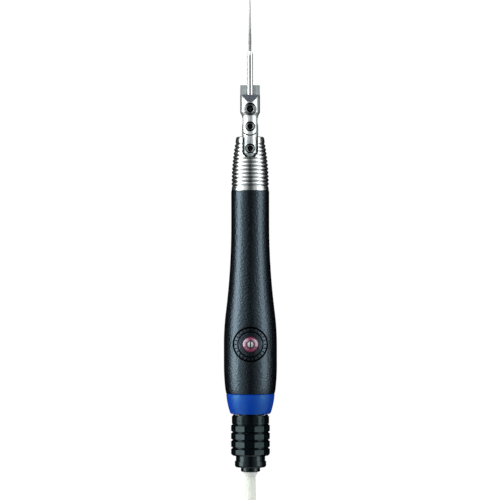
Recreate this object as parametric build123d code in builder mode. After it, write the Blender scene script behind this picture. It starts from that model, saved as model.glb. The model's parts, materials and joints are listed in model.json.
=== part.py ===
from build123d import *
import math
import os

# Lengths along the tool, from the hose end to the tip of the file (mm)
COLLET_SHOWN = 1.8
NUT_LENGTH = 4.4
NUT_GAP = 0.3
RING_LENGTH = 16.2
RING_GAP = 0.5
BLUE_LENGTH = 8.2
GRIP_LENGTH = 81.0
NOSE_LENGTH = 21.4
PIVOT_RISE = 4.1
HOLDER_RISE = 16.7
SHANK_SHOWN = 13.4
BLADE_LENGTH = 20.6

# Clearances
FIT = 0.02
SLIDE = 0.03
SLEEVE_ROOM = 0.05
FACE_ROOM = 0.1

# Lapping file
SHANK_D = 2.35
SHANK_PAST_CLAMP = 2.05
SHANK_CHAMFER = 0.25
SHANK_TAPER = 1.4
SHANK_TAPER_DROP = 0.4
NECK_D = 1.0
NECK_LENGTH = 3.0
GRIT_D = 1.15
GRIT_STEP = 0.4
TIP_D = 0.4

# File holder and its swivel
HOLDER_D = 8.0
KNUCKLE_D = 6.5
HOLDER_CONE_START = 4.3
HOLDER_CONE = 1.4
LIP_DROP = 4.0
FACET_LENGTH = 3.0
FACET_HEIGHT = 2.2
BACK_FACE_DEPTH = 0.6
HOLDER_EDGE = 0.3
FORK_DEPTH = 0.35
TONGUE_THICKNESS = 2.4
CLAMP_RISE = 6.95
CLAMP_D = 5.0
CLAMP_SOCKET = 2.5
CLAMP_SINK = 0.45
PIVOT_HEAD_D = 4.0
PIVOT_SHANK_D = 2.5
PIVOT_SOCKET = 2.0
PIVOT_SINK = 0.35
CHEEK_SEAT = 0.6
PIVOT_TAIL_SINK = 0.5
SOCKET_DEPTH = 0.9
SCREW_CHAMFER = 0.4
SCREW_LIP_CROWN = 0.12

# Rod adaptor and the rod that drives it
ADAPTOR_LENGTH = 12.0
ADAPTOR_TAIL_D = 3.8
ADAPTOR_CONE = 1.5
SHOULDER_DROP = 2.8
SWING_GAP = 0.5
ADAPTOR_SCREW_DROP = 8.8
ADAPTOR_SCREW_D = 4.0
ADAPTOR_SCREW_SOCKET = 2.0
ADAPTOR_SCREW_SINK = 0.3
ROD_D = 3.0
ROD_HELD = 5.8
ROD_FLAT = 0.4
ROD_IN_PISTON = 6.0

# Nose
NOSE_D = 14.94
NOSE_TIP_D = 11.0
NOSE_STRAIGHT = 1.9
NOSE_EDGE = 0.3
RIB_START = 1.9
RIB_PITCH = 1.52
RIB_WIDTH = 0.98
RIB_DEPTH = 0.42
RIB_CROWN = 0.16
NOSE_SMOOTH = 2.75
POCKET_ROOM = 0.5
POCKET_SIDE_ROOM = 0.2
WINDOW_LIP = 0.05
POCKET_CHAMFER = 1.9
WEB_THICKNESS = 1.45
WEB_ROOM = 0.3
SPIGOT_LENGTH = 10.0
SEAL_WIDTH = 1.2
SEAL_DEPTH = 0.7
WIPER_THICKNESS = 2.0
WIPER_D = 5.9
BUSH_D = 6.4
BUSH_FLANGE = 1.5

# Air motor
LINER_WALL = 1.5
LINER_LENGTH = 34.0
PORT_D = 1.6
PORT_SETBACK = 10.0
FLUTE_D = 1.3
FLUTE_COUNT = 4
SPRING_LENGTH = 10.6
SPRING_SIDE_ROOM = 1.2
SPRING_WIRE_D = 0.8
SPRING_TURNS = 6
PISTON_LENGTH = 12.0
PISTON_RING_INSET = 3.0
PISTON_RING_WIDTH = 1.2
PISTON_RING_DEPTH = 0.65
BUFFER_ROOM = 0.2
BUFFER_THICKNESS = 1.0
BUFFER_EDGE = 0.3
BUFFER_BORE = 4.0
DRUM_LENGTH = 13.8
AIR_BORE = 2.6

# Grip
WAIST_D = 15.2
BULGE_D = 21.24
GRIP_TAPER_DROP = 0.5
GRIP_END_DROP = 0.86
WAIST_LENGTH = 13.7
FLARE_FOOT_SHARE = 0.73
BULGE_LENGTH = 8.2
TAPER_LENGTH = 9.0
HEEL_LENGTH = 2.1
GRIP_EDGE = 0.3
WAIST_WALL = 1.4
BULGE_WALL = 2.02
LOCK_RISE = 19.8
BEZEL_D = 6.4
BEZEL_FLOOR = 0.8
BEZEL_DROP = 0.75
BEZEL_RISE = 0.9
BEZEL_BULGE = 0.06
LOCK_HEAD_D = 3.2
LOCK_HEAD_DROP = -0.1
LOCK_HEAD_CROWN = 0.45
LOCK_SHANK_D = 2.5
LOCK_DEPTH = 3.6
LOCK_SLOT_WIDTH = 0.45
LOCK_SLOT_DEPTH = 0.5
DIAL_D = 13.4
DIAL_INNER_D = 10.0
DIAL_LINE = 0.42
DIAL_DEPTH = 0.35
DIAL_TICKS = 24
DIAL_TICK_LENGTH = 0.9

# Blue ring, silencer and valve
BLUE_STEP = 0.08
BLUE_CROWN = 0.27
BLUE_REAR_D = 16.3
BLUE_EDGE = 0.35
STEM_D = 8.0
FLANGE_THICKNESS = 2.8
SILENCER_BAY = 10.4
SILENCER_ROOM = 0.2
VENT_D = 1.4
VENT_COUNT = 6
JOURNAL_D = 9.2
TAIL_D = 6.8
HUB_STEP = 0.22
RING_D = 15.86
RING_SIDES = 12
RING_PHASE = 12.0
RING_BAND_DROP = 0.48
RING_NECK_DROP = 0.83
RING_NECK = 0.6
RING_MARK_BAND = 3.0
RING_GROOVE = 0.25
RING_GROOVE_DEPTH = 0.78
RING_GROOVE_SLOPE = 0.6
RING_BANDS = 4
RING_CHAMFER = 0.8
RING_MARKS = 8
RING_MARK_STEP = 15.0
RING_MARK_WIDTH = 0.35
RING_MARK_LENGTH = 1.9
RING_MARK_DEPTH = 0.25
SLEEVE_WALL = 1.15
SLEEVE_INSET = 0.6
SLEEVE_TRAVEL = 90.0
SLEEVE_TRAVEL_ROOM = 15.0
STOP_PIN_D = 0.8
STOP_PIN_SUNK = 1.5
STOP_PIN_SHOWN = 1.8
STOP_NOTCH = 1.9
VALVE_PORT_D = 1.4
VALVE_PORT_SPACING = 4.0
VALVE_PORT_SETBACK = 6.0
VALVE_WALL = 1.6
VALVE_POCKET_DEPTH = 0.6
VALVE_POCKET_ARC = 120.0
VALVE_SEAL_INSET = 3.0

# Hose connector
NUT_FRONT_D = 11.68
NUT_REAR_D = 12.52
NUT_STEP = 2.0
NUT_ROUND = 0.8
COLLET_D = 7.7
COLLET_WALL = 0.85
COLLET_HELD = 0.9
COLLET_ROUND = 0.4
FERRULE_D = 6.0
FERRULE_LIP = 0.15
FERRULE_LENGTH = 1.8
BARB_BORE = 1.1
BARB_IN_STEM = 4.0
BARB_IN_HOSE = 6.0
FILTER_LENGTH = 1.5

# Hose, its hank and the coupler at its far end
HOSE_D = 4.0
HOSE_WALL = 1.0
HOSE_BEND_SHARE = 0.45
HANK_GAP = 0.55
HANK_FOLD_RADIUS = 12.0
HANK_RUN = 64.0
HANK_LAYERS = 4
HANK_LAYER_RUNS = 3
HANK_DRAW = 2.25
HANK_SHIFT = -6.0
HANK_SETBACK = 63.7
HANK_ROOM = 0.3
TIE_WIDTH = 10.0
TIE_THICKNESS = 0.6
COUPLER_GAP = 2.0
COUPLER_NUT_D = 7.8
COUPLER_NUT_LENGTH = 8.0
COUPLER_GRIPS = 20
COUPLER_GRIP_D = 0.5
COUPLER_NECK_D = 5.0
COUPLER_NECK = 2.0
COUPLER_BODY_D = 7.2
COUPLER_BODY = 5.0
PLUG_D = 5.0
PLUG_LENGTH = 11.0
PLUG_GROOVE_D = 4.2
PLUG_GROOVE = 1.6
PLUG_GROOVE_SETBACK = 3.4
PLUG_CHAMFER = 0.6

# Stations along Y, measured from the middle of the tool
overall = (
    COLLET_SHOWN + NUT_LENGTH + NUT_GAP + RING_LENGTH + RING_GAP + BLUE_LENGTH
    + GRIP_LENGTH + NOSE_LENGTH + PIVOT_RISE + HOLDER_RISE + SHANK_SHOWN + BLADE_LENGTH
)
tail_y = -overall / 2
nut_rear_y = tail_y + COLLET_SHOWN
nut_front_y = nut_rear_y + NUT_LENGTH
ring_rear_y = nut_front_y + NUT_GAP
ring_front_y = ring_rear_y + RING_LENGTH
blue_rear_y = ring_front_y + RING_GAP
grip_rear_y = blue_rear_y + BLUE_LENGTH
grip_front_y = grip_rear_y + GRIP_LENGTH
nose_front_y = grip_front_y + NOSE_LENGTH
pivot_y = nose_front_y + PIVOT_RISE
holder_top_y = pivot_y + HOLDER_RISE
blade_root_y = holder_top_y + SHANK_SHOWN
tip_y = blade_root_y + BLADE_LENGTH

# The tool lies on its thickest part, with its axis along Y and its screws facing up
AXIS_Z = BULGE_D / 2
AXIS_PLANE = Plane.XY.offset(AXIS_Z)
TOOL_AXIS = Axis((0, 0, AXIS_Z), (0, 1, 0))

# Diameters that follow from a wall or a fit
grip_bore = WAIST_D - 2 * WAIST_WALL
cavity_d = BULGE_D - 2 * BULGE_WALL
spigot_d = grip_bore - 2 * SLEEVE_ROOM
liner_d = grip_bore - 2 * FACE_ROOM
liner_bore = liner_d - 2 * LINER_WALL
piston_d = liner_bore - 2 * SLIDE
spring_d = liner_bore - 2 * SPRING_SIDE_ROOM - SPRING_WIRE_D
drum_d = cavity_d - 2 * FACE_ROOM
sleeve_bore = JOURNAL_D + 2 * SLIDE
sleeve_d = sleeve_bore + 2 * SLEEVE_WALL
hub_d = sleeve_d + 2 * HUB_STEP
collet_sleeve_d = HOSE_D + 2 * SLEEVE_ROOM + 2 * COLLET_WALL
hose_bore = HOSE_D - 2 * HOSE_WALL


def cross_plane(station):
    """Plane square to the tool's axis, seen from the file's end: x is X, y is Z."""
    return Plane(origin=(0, station, AXIS_Z), x_dir=(1, 0, 0), z_dir=(0, -1, 0))


def outline(*points):
    """Closed profile of (radius, station) points on the plane of the tool's axis."""
    with BuildSketch(AXIS_PLANE) as profile:
        with BuildLine():
            Polyline(*points, close=True)
        make_face()
    return profile.sketch


def band(inner_d, outer_d, rear, front):
    """Profile of a ring between two diameters and two stations."""
    inner = inner_d / 2
    outer = outer_d / 2
    return outline((inner, rear), (outer, rear), (outer, front), (inner, front))


def disc_at(station, diameter, height):
    """Round sketch, seen from above, at a height over the tool's axis."""
    with BuildSketch(AXIS_PLANE.offset(height)) as disc:
        with Locations((0, station)):
            Circle(diameter / 2)
    return disc.sketch


def hexagon_at(station, across_flats, height):
    """Hexagon sketch, seen from above, at a height over the tool's axis."""
    with BuildSketch(AXIS_PLANE.offset(height)) as hexagon:
        with Locations((0, station)):
            RegularPolygon(across_flats / 2, 6, major_radius=False)
    return hexagon.sketch


def side_profile(*points):
    """Closed profile of (station, height over the axis) points on the plane X = 0."""
    with BuildSketch(Plane.YZ) as profile:
        with BuildLine():
            Polyline(*[(station, AXIS_Z + height) for station, height in points], close=True)
        make_face()
    return profile.sketch


def seal_ring(inner_d, outer_d, width, *stations):
    """One or more soft rings, squeezed to the room between two diameters."""
    with BuildPart() as ring:
        for station in stations:
            with BuildSketch(AXIS_PLANE) as section:
                with Locations(((inner_d + outer_d) / 4, station)):
                    RectangleRounded((outer_d - inner_d) / 2, width, (outer_d - inner_d) / 8)
            revolve(section.sketch, axis=TOOL_AXIS)
    return ring


def screw_top(station, diameter, bottom, top, socket):
    """Profile of a screw's upper part: slant outer edge, then a round lip up to the socket's corners."""
    radius = diameter / 2
    lip_in = socket / math.sqrt(3)
    edge = min(SCREW_CHAMFER, (radius - lip_in) / 2, (top - bottom) / 2)
    lip_out = radius - edge
    lip_foot = top - SCREW_LIP_CROWN
    with BuildSketch(cross_plane(station)) as profile:
        with BuildLine():
            side = Polyline(
                (0, lip_foot),
                (0, bottom),
                (radius, bottom),
                (radius, lip_foot - edge),
                (lip_out, lip_foot),
            )
            lip = ThreePointArc(side @ 1, ((lip_out + lip_in) / 2, top), (lip_in, lip_foot))
            Line(lip @ 1, side @ 0)
        make_face()
    return profile.sketch


def screw_axis(station):
    """Upright axis of a screw."""
    return Axis((0, station, 0), (0, 0, 1))


def set_screw(station, diameter, bottom, top, socket):
    """Headless screw that points down at the tool's axis, with a hexagon socket on top."""
    with BuildPart() as screw:
        revolve(screw_top(station, diameter, bottom, top, socket), axis=screw_axis(station))
        extrude(hexagon_at(station, socket, top), amount=-SOCKET_DEPTH, mode=Mode.SUBTRACT)
    return screw


# Lapping file: round shank, short neck and a slim tapered blade
clamp_y = pivot_y + CLAMP_RISE
shank_bottom_y = clamp_y - SHANK_PAST_CLAMP
shank_r = SHANK_D / 2
tip_r = TIP_D / 2
with BuildPart() as lapping_file:
    with BuildSketch(AXIS_PLANE):
        with BuildLine():
            flank = Polyline(
                (0, shank_bottom_y),
                (shank_r - SHANK_CHAMFER, shank_bottom_y),
                (shank_r, shank_bottom_y + SHANK_CHAMFER),
                (shank_r, blade_root_y - SHANK_TAPER),
                (shank_r - SHANK_TAPER_DROP, blade_root_y),
                (NECK_D / 2, blade_root_y),
                (NECK_D / 2, blade_root_y + NECK_LENGTH - GRIT_STEP),
                (GRIT_D / 2, blade_root_y + NECK_LENGTH),
                (tip_r, tip_y - tip_r),
            )
            point = RadiusArc(flank @ 1, (0, tip_y), -tip_r)
            Line(point @ 1, flank @ 0)
        make_face()
    revolve(axis=TOOL_AXIS)

# File holder: round bar, cut open at the front above its lip, with a fork below
holder_r = HOLDER_D / 2
knuckle_r = KNUCKLE_D / 2
fork_half = TONGUE_THICKNESS / 2 + FACE_ROOM
lip_y = holder_top_y - LIP_DROP
cone_y = pivot_y + HOLDER_CONE_START
pivot_seat = fork_half + CHEEK_SEAT
with BuildPart() as file_holder:
    revolve(
        outline(
            (0, pivot_y - knuckle_r),
            (knuckle_r, pivot_y - knuckle_r),
            (knuckle_r, cone_y),
            (holder_r, cone_y + HOLDER_CONE),
            (holder_r, holder_top_y - HOLDER_EDGE),
            (holder_r - HOLDER_EDGE, holder_top_y),
            (0, holder_top_y),
        ),
        axis=TOOL_AXIS,
    )
    with BuildSketch(AXIS_PLANE):
        with Locations((0, pivot_y)):
            Circle(knuckle_r)
            Rectangle(2 * HOLDER_D, HOLDER_RISE, align=(Align.CENTER, Align.MIN))
    extrude(amount=HOLDER_D, both=True, mode=Mode.INTERSECT)
    fork_top_y = pivot_y + knuckle_r + FORK_DEPTH
    extrude(
        side_profile(
            (pivot_y - KNUCKLE_D, -fork_half),
            (fork_top_y, -fork_half),
            (fork_top_y, fork_half),
            (pivot_y - KNUCKLE_D, fork_half),
        ),
        amount=HOLDER_D,
        both=True,
        mode=Mode.SUBTRACT,
    )
    extrude(
        side_profile(
            (holder_top_y + LIP_DROP, -BACK_FACE_DEPTH),
            (lip_y, -BACK_FACE_DEPTH),
            (lip_y, FACET_HEIGHT),
            (lip_y - FACET_LENGTH, holder_r),
            (lip_y - FACET_LENGTH, HOLDER_D),
            (holder_top_y + LIP_DROP, HOLDER_D),
        ),
        amount=HOLDER_D,
        both=True,
        mode=Mode.SUBTRACT,
    )
    with BuildSketch(cross_plane(holder_top_y)):
        Circle(shank_r + SLIDE)
    extrude(amount=holder_top_y - shank_bottom_y + SLEEVE_ROOM, mode=Mode.SUBTRACT)
    extrude(disc_at(clamp_y, CLAMP_D + 2 * SLIDE, 0), amount=HOLDER_D, mode=Mode.SUBTRACT)
    extrude(disc_at(pivot_y, PIVOT_HEAD_D + 2 * SLIDE, pivot_seat), amount=KNUCKLE_D, mode=Mode.SUBTRACT)
    extrude(
        disc_at(pivot_y, PIVOT_SHANK_D + 2 * SLIDE, 0),
        amount=KNUCKLE_D,
        both=True,
        mode=Mode.SUBTRACT,
    )

file_clamp_screw = set_screw(clamp_y, CLAMP_D, shank_r + SLIDE, holder_r - CLAMP_SINK, CLAMP_SOCKET)

# Pivot screw: low head in the front cheek, shank through the tongue into the back cheek
pivot_top = knuckle_r - PIVOT_SINK
head_bottom = pivot_seat + FIT
with BuildPart() as swivel_pivot_screw:
    revolve(
        screw_top(pivot_y, PIVOT_HEAD_D, head_bottom, pivot_top, PIVOT_SOCKET),
        axis=screw_axis(pivot_y),
    )
    extrude(
        disc_at(pivot_y, PIVOT_SHANK_D, head_bottom),
        amount=-(head_bottom + knuckle_r - PIVOT_TAIL_SINK),
    )
    extrude(hexagon_at(pivot_y, PIVOT_SOCKET, pivot_top), amount=-SOCKET_DEPTH, mode=Mode.SUBTRACT)

# Rod adaptor: tongue at the front, hollow shoulders for the fork, socket for the rod behind
adaptor_rear_y = pivot_y - ADAPTOR_LENGTH
adaptor_screw_y = pivot_y - ADAPTOR_SCREW_DROP
rod_r = ROD_D / 2
rod_front_y = adaptor_rear_y + ROD_HELD
with BuildPart() as rod_adaptor:
    revolve(
        outline(
            (0, adaptor_rear_y),
            (ADAPTOR_TAIL_D / 2, adaptor_rear_y),
            (knuckle_r, adaptor_rear_y + ADAPTOR_CONE),
            (knuckle_r, pivot_y + knuckle_r),
            (0, pivot_y + knuckle_r),
        ),
        axis=TOOL_AXIS,
    )
    with BuildSketch(AXIS_PLANE):
        with Locations((0, pivot_y)):
            Circle(knuckle_r)
            Rectangle(KNUCKLE_D, ADAPTOR_LENGTH, align=(Align.CENTER, Align.MAX))
    extrude(amount=KNUCKLE_D, both=True, mode=Mode.INTERSECT)
    for side in (1, -1):
        with BuildSketch(AXIS_PLANE.offset(side * TONGUE_THICKNESS / 2)):
            with Locations((0, pivot_y)):
                Circle(knuckle_r + SWING_GAP)
            with Locations((0, pivot_y - SHOULDER_DROP)):
                Rectangle(2 * KNUCKLE_D, 2 * KNUCKLE_D, align=(Align.CENTER, Align.MIN))
        extrude(amount=side * KNUCKLE_D, mode=Mode.SUBTRACT)
    with BuildSketch(cross_plane(adaptor_rear_y + ROD_HELD + SLEEVE_ROOM)):
        Circle(rod_r + FIT)
    extrude(amount=ROD_HELD + ADAPTOR_LENGTH, mode=Mode.SUBTRACT)
    extrude(
        disc_at(adaptor_screw_y, ADAPTOR_SCREW_D + 2 * SLIDE, 0),
        amount=KNUCKLE_D,
        mode=Mode.SUBTRACT,
    )
    extrude(
        disc_at(pivot_y, PIVOT_SHANK_D + 2 * SLIDE, 0),
        amount=KNUCKLE_D,
        both=True,
        mode=Mode.SUBTRACT,
    )

adaptor_set_screw = set_screw(
    adaptor_screw_y,
    ADAPTOR_SCREW_D,
    rod_r - ROD_FLAT + FIT,
    knuckle_r - ADAPTOR_SCREW_SINK,
    ADAPTOR_SCREW_SOCKET,
)

# Air motor stations, from the nose's spigot back
spigot_rear_y = grip_front_y - SPIGOT_LENGTH
flange_rear_y = spigot_rear_y - BUSH_FLANGE
piston_front_y = flange_rear_y - SPRING_LENGTH
piston_rear_y = piston_front_y - PISTON_LENGTH
head_front_y = piston_rear_y - BUFFER_ROOM - BUFFER_THICKNESS
liner_rear_y = spigot_rear_y - LINER_LENGTH
flange_front_y = grip_rear_y + FLANGE_THICKNESS
drum_rear_y = flange_front_y + SILENCER_BAY
drum_front_y = drum_rear_y + DRUM_LENGTH

with BuildPart() as output_rod:
    revolve(band(0, ROD_D, piston_front_y - ROD_IN_PISTON, rod_front_y), axis=TOOL_AXIS)
    chamfer(output_rod.edges().group_by(Axis.Y)[-1], SHANK_CHAMFER)
    extrude(
        side_profile(
            (adaptor_rear_y, rod_r - ROD_FLAT),
            (rod_front_y + ROD_D, rod_r - ROD_FLAT),
            (rod_front_y + ROD_D, ROD_D),
            (adaptor_rear_y, ROD_D),
        ),
        amount=ROD_D,
        both=True,
        mode=Mode.SUBTRACT,
    )

# Nose: ogive with turned ribs, an open pocket for the adaptor, and a spigot behind
nose_r = NOSE_D / 2
nose_tip_r = NOSE_TIP_D / 2
ogive_start_y = grip_front_y + NOSE_STRAIGHT
ogive_length = nose_front_y - ogive_start_y
ogive_radius = (ogive_length**2 + (nose_r - nose_tip_r) ** 2) / (2 * (nose_r - nose_tip_r))
pocket_floor_y = adaptor_rear_y - POCKET_ROOM
pocket_r = knuckle_r + POCKET_SIDE_ROOM
web_hole_r = rod_r + WEB_ROOM
web_rear_y = pocket_floor_y - WEB_THICKNESS
wiper_rear_y = web_rear_y - WIPER_THICKNESS
nose_seal_y = grip_front_y - SPIGOT_LENGTH / 2
nose_seal_floor_d = spigot_d - 2 * SEAL_DEPTH
rib_gap = (RIB_PITCH - RIB_WIDTH) / 2
rib_steps = int((NOSE_LENGTH - RIB_START - NOSE_SMOOTH) / RIB_PITCH)


def on_nose(station, depth=0):
    """Point on the nose's outline, straight first and then along the ogive's arc."""
    along = max(0, station - ogive_start_y)
    return (nose_r - ogive_radius + math.sqrt(ogive_radius**2 - along**2) - depth, station)


with BuildPart() as nose_cone:
    with BuildSketch(AXIS_PLANE):
        with BuildLine():
            first_groove_y = grip_front_y + RIB_START
            base = Polyline(
                (0, spigot_rear_y),
                (spigot_d / 2, spigot_rear_y),
                (spigot_d / 2, grip_front_y),
                (nose_r, grip_front_y),
                on_nose(first_groove_y - rib_gap, RIB_CROWN),
            )
            edge = base @ 1
            for step in range(rib_steps + 1):
                groove_y = first_groove_y + step * RIB_PITCH
                groove = ThreePointArc(
                    edge,
                    on_nose(groove_y, RIB_DEPTH),
                    on_nose(groove_y + rib_gap, RIB_CROWN),
                )
                edge = groove @ 1
                if step < rib_steps:
                    rib = ThreePointArc(
                        edge,
                        on_nose(groove_y + RIB_PITCH / 2),
                        on_nose(groove_y + RIB_PITCH - rib_gap, RIB_CROWN),
                    )
                    edge = rib @ 1
            front_edge = on_nose(nose_front_y - NOSE_EDGE)
            brow = ThreePointArc(edge, on_nose((edge.Y + front_edge[1]) / 2), front_edge)
            Polyline(brow @ 1, (nose_tip_r - NOSE_EDGE, nose_front_y), (0, nose_front_y), (0, spigot_rear_y))
        make_face()
    revolve(axis=TOOL_AXIS)
    revolve(
        band(nose_seal_floor_d, NOSE_D, nose_seal_y - SEAL_WIDTH / 2, nose_seal_y + SEAL_WIDTH / 2),
        axis=TOOL_AXIS,
        mode=Mode.SUBTRACT,
    )
    revolve(
        outline(
            (0, spigot_rear_y),
            (BUSH_D / 2 + FIT, spigot_rear_y),
            (BUSH_D / 2 + FIT, wiper_rear_y),
            (WIPER_D / 2 + FIT, wiper_rear_y),
            (WIPER_D / 2 + FIT, web_rear_y),
            (web_hole_r, web_rear_y),
            (web_hole_r, pocket_floor_y),
            (pocket_r, pocket_floor_y + POCKET_CHAMFER),
            (pocket_r, nose_front_y),
            (0, nose_front_y),
        ),
        axis=TOOL_AXIS,
        mode=Mode.SUBTRACT,
    )
    window_r = knuckle_r - WINDOW_LIP
    with BuildSketch(AXIS_PLANE):
        with BuildLine():
            Polyline(
                (WINDOW_LIP - web_hole_r, pocket_floor_y),
                (web_hole_r - WINDOW_LIP, pocket_floor_y),
                (window_r, pocket_floor_y + POCKET_CHAMFER),
                (window_r, nose_front_y + NOSE_D),
                (-window_r, nose_front_y + NOSE_D),
                (-window_r, pocket_floor_y + POCKET_CHAMFER),
                close=True,
            )
        make_face()
    extrude(amount=NOSE_D, mode=Mode.SUBTRACT)

nose_seal = seal_ring(
    nose_seal_floor_d + 2 * FIT,
    grip_bore - 2 * FIT,
    SEAL_WIDTH - FACE_ROOM,
    nose_seal_y,
)

with BuildPart() as rod_wiper:
    revolve(band(ROD_D + 2 * SLEEVE_ROOM, WIPER_D, wiper_rear_y + FIT, web_rear_y - FIT), axis=TOOL_AXIS)

bush_flange_r = liner_bore / 2 - FACE_ROOM
with BuildPart() as front_bush:
    revolve(
        outline(
            (rod_r + SLIDE, flange_rear_y),
            (bush_flange_r, flange_rear_y),
            (bush_flange_r, spigot_rear_y - FIT),
            (BUSH_D / 2, spigot_rear_y - FIT),
            (BUSH_D / 2, wiper_rear_y - FIT),
            (rod_r + SLIDE, wiper_rear_y - FIT),
        ),
        axis=TOOL_AXIS,
    )


def biarc(start, start_way, end, end_way):
    """Joint, and the way through it, of two arcs that leave and arrive along given ways."""
    span = end - start
    turn = 2 * (1 - start_way.dot(end_way))
    along = span.dot(start_way + end_way)
    reach = span.dot(span) / (along + math.sqrt(along**2 + turn * span.dot(span)))
    first = start + start_way * reach
    second = end - end_way * reach
    return (first + second) * 0.5, (second - first).normalized()


def draw_turns(stops):
    """Edges through stops, each a point and a way, as straight lines or pairs of arcs."""
    for (start, start_way), (end, end_way) in zip(stops, stops[1:]):
        if (end - start).normalized().dot(start_way) > 1 - 1e-9:
            Line(start, end)
        else:
            joint, joint_way = biarc(start, start_way, end, end_way)
            TangentArc(start, joint, tangent=start_way)
            TangentArc(joint, end, tangent=joint_way)


# Return spring: quarter turns of a steady helix between the bush's flange and the piston
spring_room = SPRING_WIRE_D / 2 + FACE_ROOM
spring_rise = (SPRING_LENGTH - 2 * spring_room) / (4 * SPRING_TURNS)
spring_stops = []
for quarter in range(4 * SPRING_TURNS + 1):
    angle = quarter * math.pi / 2
    around = Vector(math.cos(angle), 0, math.sin(angle))
    ahead = Vector(-math.sin(angle), spring_rise / (spring_d / 2 * math.pi / 2), math.cos(angle))
    coil_y = piston_front_y + spring_room + quarter * spring_rise
    spring_stops.append((around * (spring_d / 2) + Vector(0, coil_y, AXIS_Z), ahead.normalized()))
with BuildPart() as return_spring:
    with BuildLine() as spring_path:
        draw_turns(spring_stops)
    with BuildSketch(Plane(origin=spring_stops[0][0], z_dir=spring_stops[0][1])):
        Circle(SPRING_WIRE_D / 2)
    sweep(path=spring_path.wires()[0])

# Piston with two slide rings, and the soft stop behind it
ring_stations = (piston_front_y - PISTON_RING_INSET, piston_rear_y + PISTON_RING_INSET)
with BuildPart() as piston:
    revolve(band(0, piston_d, piston_rear_y, piston_front_y), axis=TOOL_AXIS)
    for station in ring_stations:
        groove = band(
            piston_d - 2 * PISTON_RING_DEPTH,
            2 * piston_d,
            station - PISTON_RING_WIDTH / 2,
            station + PISTON_RING_WIDTH / 2,
        )
        revolve(groove, axis=TOOL_AXIS, mode=Mode.SUBTRACT)
    revolve(
        band(0, ROD_D + 2 * FIT, piston_front_y - ROD_IN_PISTON - FIT, piston_front_y),
        axis=TOOL_AXIS,
        mode=Mode.SUBTRACT,
    )

piston_rings = seal_ring(
    piston_d - 2 * PISTON_RING_DEPTH + 2 * FIT,
    liner_bore - 2 * FIT,
    PISTON_RING_WIDTH - FACE_ROOM,
    *ring_stations,
)

with BuildPart() as rear_buffer:
    revolve(
        band(
            BUFFER_BORE,
            liner_bore - 2 * BUFFER_EDGE,
            head_front_y + FIT,
            head_front_y + BUFFER_THICKNESS,
        ),
        axis=TOOL_AXIS,
    )

# Cylinder liner: tube with cross ports, and flutes outside that lead the spent air back
port_y = liner_rear_y + PORT_SETBACK
flute_start = 360 / FLUTE_COUNT / 2
with BuildPart() as cylinder_liner:
    revolve(band(liner_bore, liner_d, liner_rear_y + FIT, spigot_rear_y - FIT), axis=TOOL_AXIS)
    with BuildSketch(cross_plane(port_y)):
        with PolarLocations(liner_d / 2, FLUTE_COUNT, start_angle=flute_start):
            Circle(FLUTE_D / 2)
    extrude(amount=PORT_SETBACK, mode=Mode.SUBTRACT)
    for flute in range(FLUTE_COUNT):
        angle = math.radians(flute_start + flute * 360 / FLUTE_COUNT)
        outward = (math.cos(angle), 0, math.sin(angle))
        with BuildSketch(Plane(origin=(0, port_y, AXIS_Z), x_dir=(0, 1, 0), z_dir=outward)):
            Circle(PORT_D / 2)
        extrude(amount=liner_d, mode=Mode.SUBTRACT)

# Cylinder head: plug in the liner, collar behind it, and a drum that the grip is locked to
lock_y = grip_rear_y + LOCK_RISE
head_seal_y = (head_front_y + liner_rear_y) / 2
head_seal_floor_d = liner_bore - 2 * SEAL_DEPTH
lock_floor = drum_d / 2 - LOCK_DEPTH
with BuildPart() as cylinder_head:
    revolve(
        outline(
            (AIR_BORE / 2, head_front_y),
            (liner_bore / 2 - SLIDE, head_front_y),
            (liner_bore / 2 - SLIDE, liner_rear_y),
            (liner_d / 2, liner_rear_y),
            (liner_d / 2, drum_front_y),
            (drum_d / 2, drum_front_y),
            (drum_d / 2, drum_rear_y),
            (AIR_BORE / 2, drum_rear_y),
        ),
        axis=TOOL_AXIS,
    )
    revolve(
        band(head_seal_floor_d, liner_bore, head_seal_y - SEAL_WIDTH / 2, head_seal_y + SEAL_WIDTH / 2),
        axis=TOOL_AXIS,
        mode=Mode.SUBTRACT,
    )
    for surface_d, front in ((liner_d, liner_rear_y), (drum_d, drum_front_y)):
        with BuildSketch(cross_plane(front)):
            with PolarLocations(surface_d / 2, FLUTE_COUNT, start_angle=flute_start):
                Circle(FLUTE_D / 2)
        extrude(amount=front - drum_rear_y, mode=Mode.SUBTRACT)
    extrude(
        disc_at(lock_y, LOCK_SHANK_D + 2 * FIT, lock_floor - FACE_ROOM),
        amount=drum_d,
        mode=Mode.SUBTRACT,
    )

head_seal = seal_ring(
    head_seal_floor_d + 2 * FIT,
    liner_bore - 2 * FIT,
    SEAL_WIDTH - FACE_ROOM,
    head_seal_y,
)

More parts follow.
